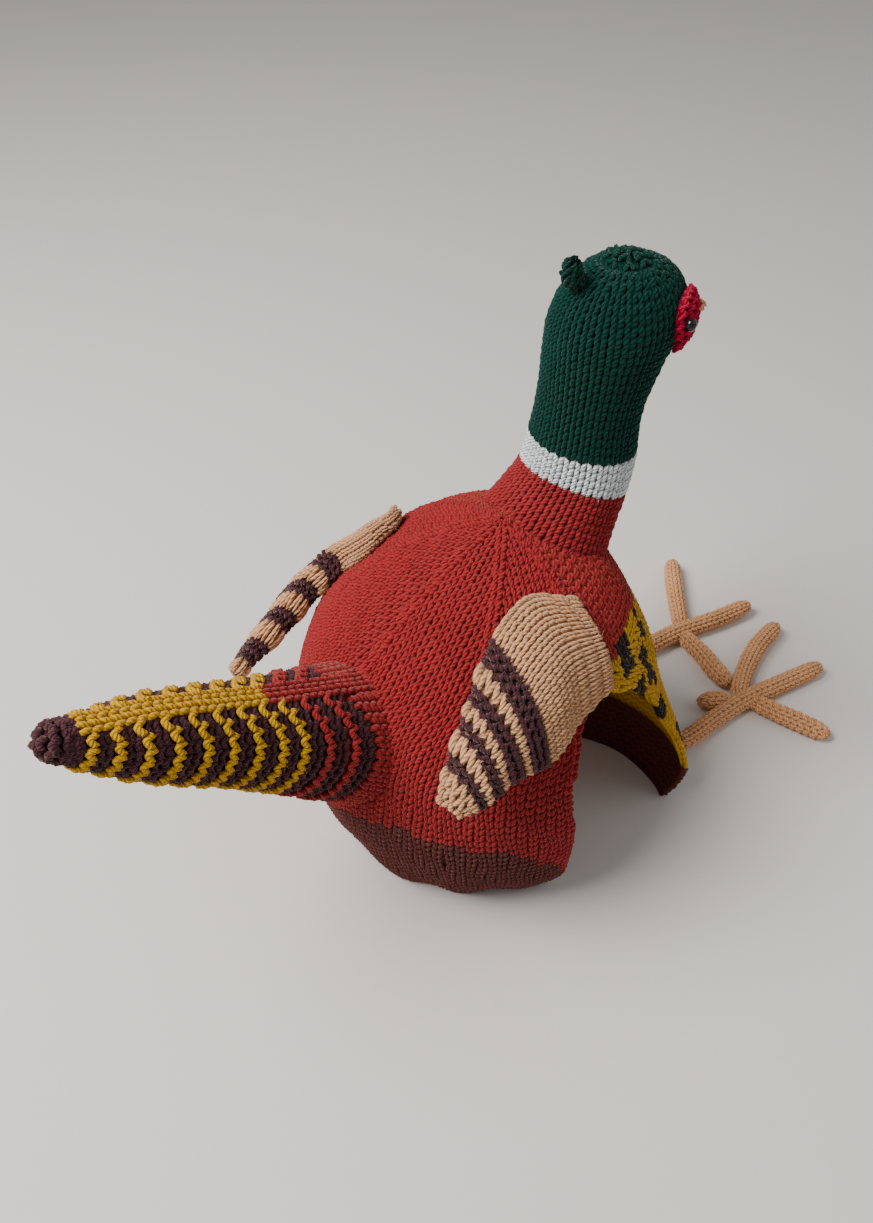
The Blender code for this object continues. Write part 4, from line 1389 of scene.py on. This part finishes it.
net = Net()
for share, count in ((0.12, 6), (0.36, 6), (0.60, 5), (0.82, 4)):
    for t in circle(count):
        net.lay(lambda a, b: beak_spot(min(share + b * 0.24, 0.97), t + a * TURN / count, -0.6), "peach", 0.75)
rings = [[beak_spot(share, t, -0.9) for t in circle(12)] for share in (0.02, 0.3, 0.6, 0.85)]
beak_pieces = [wadding("beak_core", rings, neck_point(u0, 0.0), beak_spot(1.0, 0), lambda i, j: "peach"),
               knit("beak_stitches", net, neck_stitch, YARN["beak"], 0.06, 0.06, 61)]

# %% Make the crest
u, turn, length, radius = CREST
normal = neck_normal(u, turn)
root = neck_point(u, turn) + normal * (GAP + 0.2)
tip = root + (normal + Vector((0.1, -0.25, 0.55))).normalized() * length
total, crest_spot = cord_surface((root - normal * 3.0, root + normal * length * 0.45, tip), radius)
net = Net()
for k in range(round(total / 3.1)):
    place = 1.2 + (k + 0.3) * 3.1
    for j in range(5):
        angle = 72.0 * j + 20 * k
        net.lay(lambda a, b: crest_spot(min(place + b * 3.2, total - 0.3), angle + a * 72.0, -0.9), "green", 0.85, 0.1)
rings = [[crest_spot(0.6 + (total - 1.2) * k / 6, 36.0 * j, -1.2) for j in range(10)] for k in range(7)]
crest_ends = [crest_spot(place, 0, -9) for place in (0.3, total - 0.3)]
crest_pieces = [wadding("crest_core", rings, *crest_ends, lambda i, j: "green"),
                knit("crest_stitches", net, plain_stitch, YARN["head"], 0.06, 0.1, 71)]

# %% [markdown]
# ## Loose fibres
# Wool is never clean-cut: short fibres stand off the yarn and blur every edge. They are thin
# slivers, scattered over the finished stitches by a second node tree and leaning every way.

# %% The fuzz tree
def fibre_material():
    material, bench = new_material("loose_fibre")
    mottle = bench.noise(300.0)
    bench.surface({
        "Base Color": bench.blend((0.01 + mottle * 0.05).clamp(), bench.colour("wool"), (0.95, 0.90, 0.86, 1.0)),
        "Roughness": 0.85 + (mottle - 0.5) * 0.1, "Specular IOR Level": 0.1})
    return material


def fuzz_tree():
    tree, bench, inlet = new_tree("fuzz", {"Fibre": "Object", "Wool": "Material", "Fibres a square metre": "Float",
                                           "Seed": "Int"})
    spread = bench.node("GeometryNodeDistributePointsOnFaces", None, {
        "Mesh": inlet["Geometry"], "Density": inlet["Fibres a square metre"], "Seed": inlet["Seed"]}).outputs
    lean = draw(bench, inlet["Seed"], "FLOAT_VECTOR", {0: (0.7, 0.0, 0.0), 1: (1.45, 0.0, 6.283)})[0]
    size = draw(bench, inlet["Seed"], "FLOAT", {2: 0.5, 3: 1.2})[1]
    placed = copies(bench, spread["Points"], inlet["Fibre"], leant(bench, spread["Rotation"], lean), size)
    realize(bench, placed, inlet["Wool"])
    return tree


FIBRE = fibre_material()
FUZZ = fuzz_tree()
SLIVER = (0.045, -0.2, 2.4)    # radius, foot and tip of one fibre, in millimetres
sliver_mesh = bpy.data.meshes.new("sliver")
sliver_mesh.from_pydata([(SLIVER[0] * MM * math.cos(a), SLIVER[0] * MM * math.sin(a), SLIVER[1] * MM)
                         for a in (0.0, 2.094, 4.189)] + [(0.0, 0.0, SLIVER[2] * MM)],
                        [], [(2, 1, 0), (0, 1, 3), (1, 2, 3), (2, 0, 3)])
sliver = stand("sliver", sliver_mesh)


def fuzz(source, count, seed, name=None):
    """Scatters loose fibres over a knitted piece."""
    thing = stand(name or source.name + "_fuzz", source.data.copy())
    area = sum(face.area for face in source.data.polygons)
    grow(thing, FUZZ, {"Fibre": sliver, "Wool": FIBRE, "Fibres a square metre": count / area, "Seed": seed})
    print(f"{thing.name}: {len(thing.data.polygons) // 4} fibres")
    return thing


for side, counts in (("back", (700, 1700, 1700)), ("front", (200, 700, 700))):
    for source, count in zip(body_pieces[side][1:4], counts):
        body_pieces[side].append(fuzz(source, count, 81))
neck_fuzz = fuzz(neck_stitches, 1300, 82, "neck_fuzz")
tail_fuzz = [fuzz(source, 900, seed, f"tail_{part}_fuzz") for source, seed, part in (
    (tail_ridge_stitches, 83, "ridge"), (tail_bar_stitches, 84, "bar"), (tail_spine_stitches, 85, "spine"))]
for side, counts in (("right", (1200, 300, 600)), ("left", (2600, 300, 600))):
    for source, count in zip(wing_pieces[side][1:4], counts):
        wing_pieces[side].append(fuzz(source, count, 86))
bpy.data.objects.remove(sliver)

# %% [markdown]
# ## Bead eyes
# The eyes are polished black beads. Their shape is already right in the part, so they only need a
# hard bright gloss, slightly uneven as a cheap bead is.

# %% Dress the eyes
def bead_material():
    material, bench = new_material("black_bead")
    bench.surface({"Base Color": (0.006, 0.006, 0.008, 1.0), "Roughness": 0.16 + bench.noise(900.0) * 0.10,
                   "Coat Weight": 0.2, "Specular IOR Level": 0.4})
    return material


BEAD = bead_material()
for name in ("eye_right", "eye_left"):
    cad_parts[name].data.materials.clear()
    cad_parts[name].data.materials.append(BEAD)
print("eyes dressed")

# %% [markdown]
# ## Table and light
# A wide pale table top and soft window light from the upper left, with a weak fill opposite, as in a
# plain corner of a room.

# %% Table
def table_material():
    material, bench = new_material("pale_paper")
    tone = bench.blend(bench.noise(400.0, 3.0), (0.785, 0.752, 0.715, 1.0), (0.815, 0.782, 0.745, 1.0))
    bench.surface({"Base Color": tone, "Roughness": 0.9, "Specular IOR Level": 0.2})
    return material


TABLE_HALF, TABLE_TOP = 3.0, -0.0003
table_mesh = bpy.data.meshes.new("table")
table_mesh.from_pydata([(x * TABLE_HALF, y * TABLE_HALF, TABLE_TOP) for x, y in ((-1, -1), (1, -1), (1, 1), (-1, 1))],
                       [], [(0, 1, 2, 3)])
table_mesh.materials.append(table_material())
table = stand("table", table_mesh)


# %% Lights
def window(name, place, size, power, colour):
    data = bpy.data.lights.new(name, "AREA")
    data.shape, data.size, data.energy, data.color = "DISK", size, power, colour
    lamp = stand(name, data)
    lamp.location = place
    lamp.rotation_euler = (Vector((0, 0, 0.08)) - Vector(place)).to_track_quat("-Z", "Y").to_euler()


window("window_light", (-0.62, 0.27, 0.97), 0.7, 19.0, (1.0, 0.975, 0.945))
window("fill_light", (0.9, -0.9, 1.0), 1.2, 3.0, (0.95, 0.97, 1.0))
world = bpy.data.worlds.new("room")
bpy.context.scene.world = world
world.use_nodes = True
sky = world.node_tree.nodes["Background"].inputs
sky["Color"].default_value = (0.80, 0.795, 0.79, 1.0)
sky["Strength"].default_value = 0.34
print("lit")

# %% [markdown]
# ## Riding on the body
# Every piece rides on the one body and hides the solid that it stands for.

# %% Ride and replace
for thing in STITCHES:
    bpy.data.objects.remove(thing)


def hand_over(pieces, node):
    for piece in pieces:
        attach(piece, "root")
        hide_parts(node)


hand_over(body_pieces["back"], "back_panel")
hand_over(body_pieces["front"], "front_panel")
hand_over([neck_core, neck_stitches, head_gather, neck_fuzz], "neck_and_head")
hand_over([tail_core, tail_bar_stitches, tail_ridge_stitches, tail_spine_stitches, *tail_fuzz], "tail")
for side, pieces in wing_pieces.items():
    hand_over(pieces, "wing_" + side)
for name, pieces in cord_pieces.items():
    hand_over(pieces, name)
for side, pieces in face_pieces.items():
    hand_over(pieces, "face_patch_" + side)
hand_over(beak_pieces, "beak")
hand_over(crest_pieces, "crest")

for side, pieces in wing_pieces.items():
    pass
for pieces in list(cord_pieces.values()) + list(face_pieces.values()) + [beak_pieces, crest_pieces]:
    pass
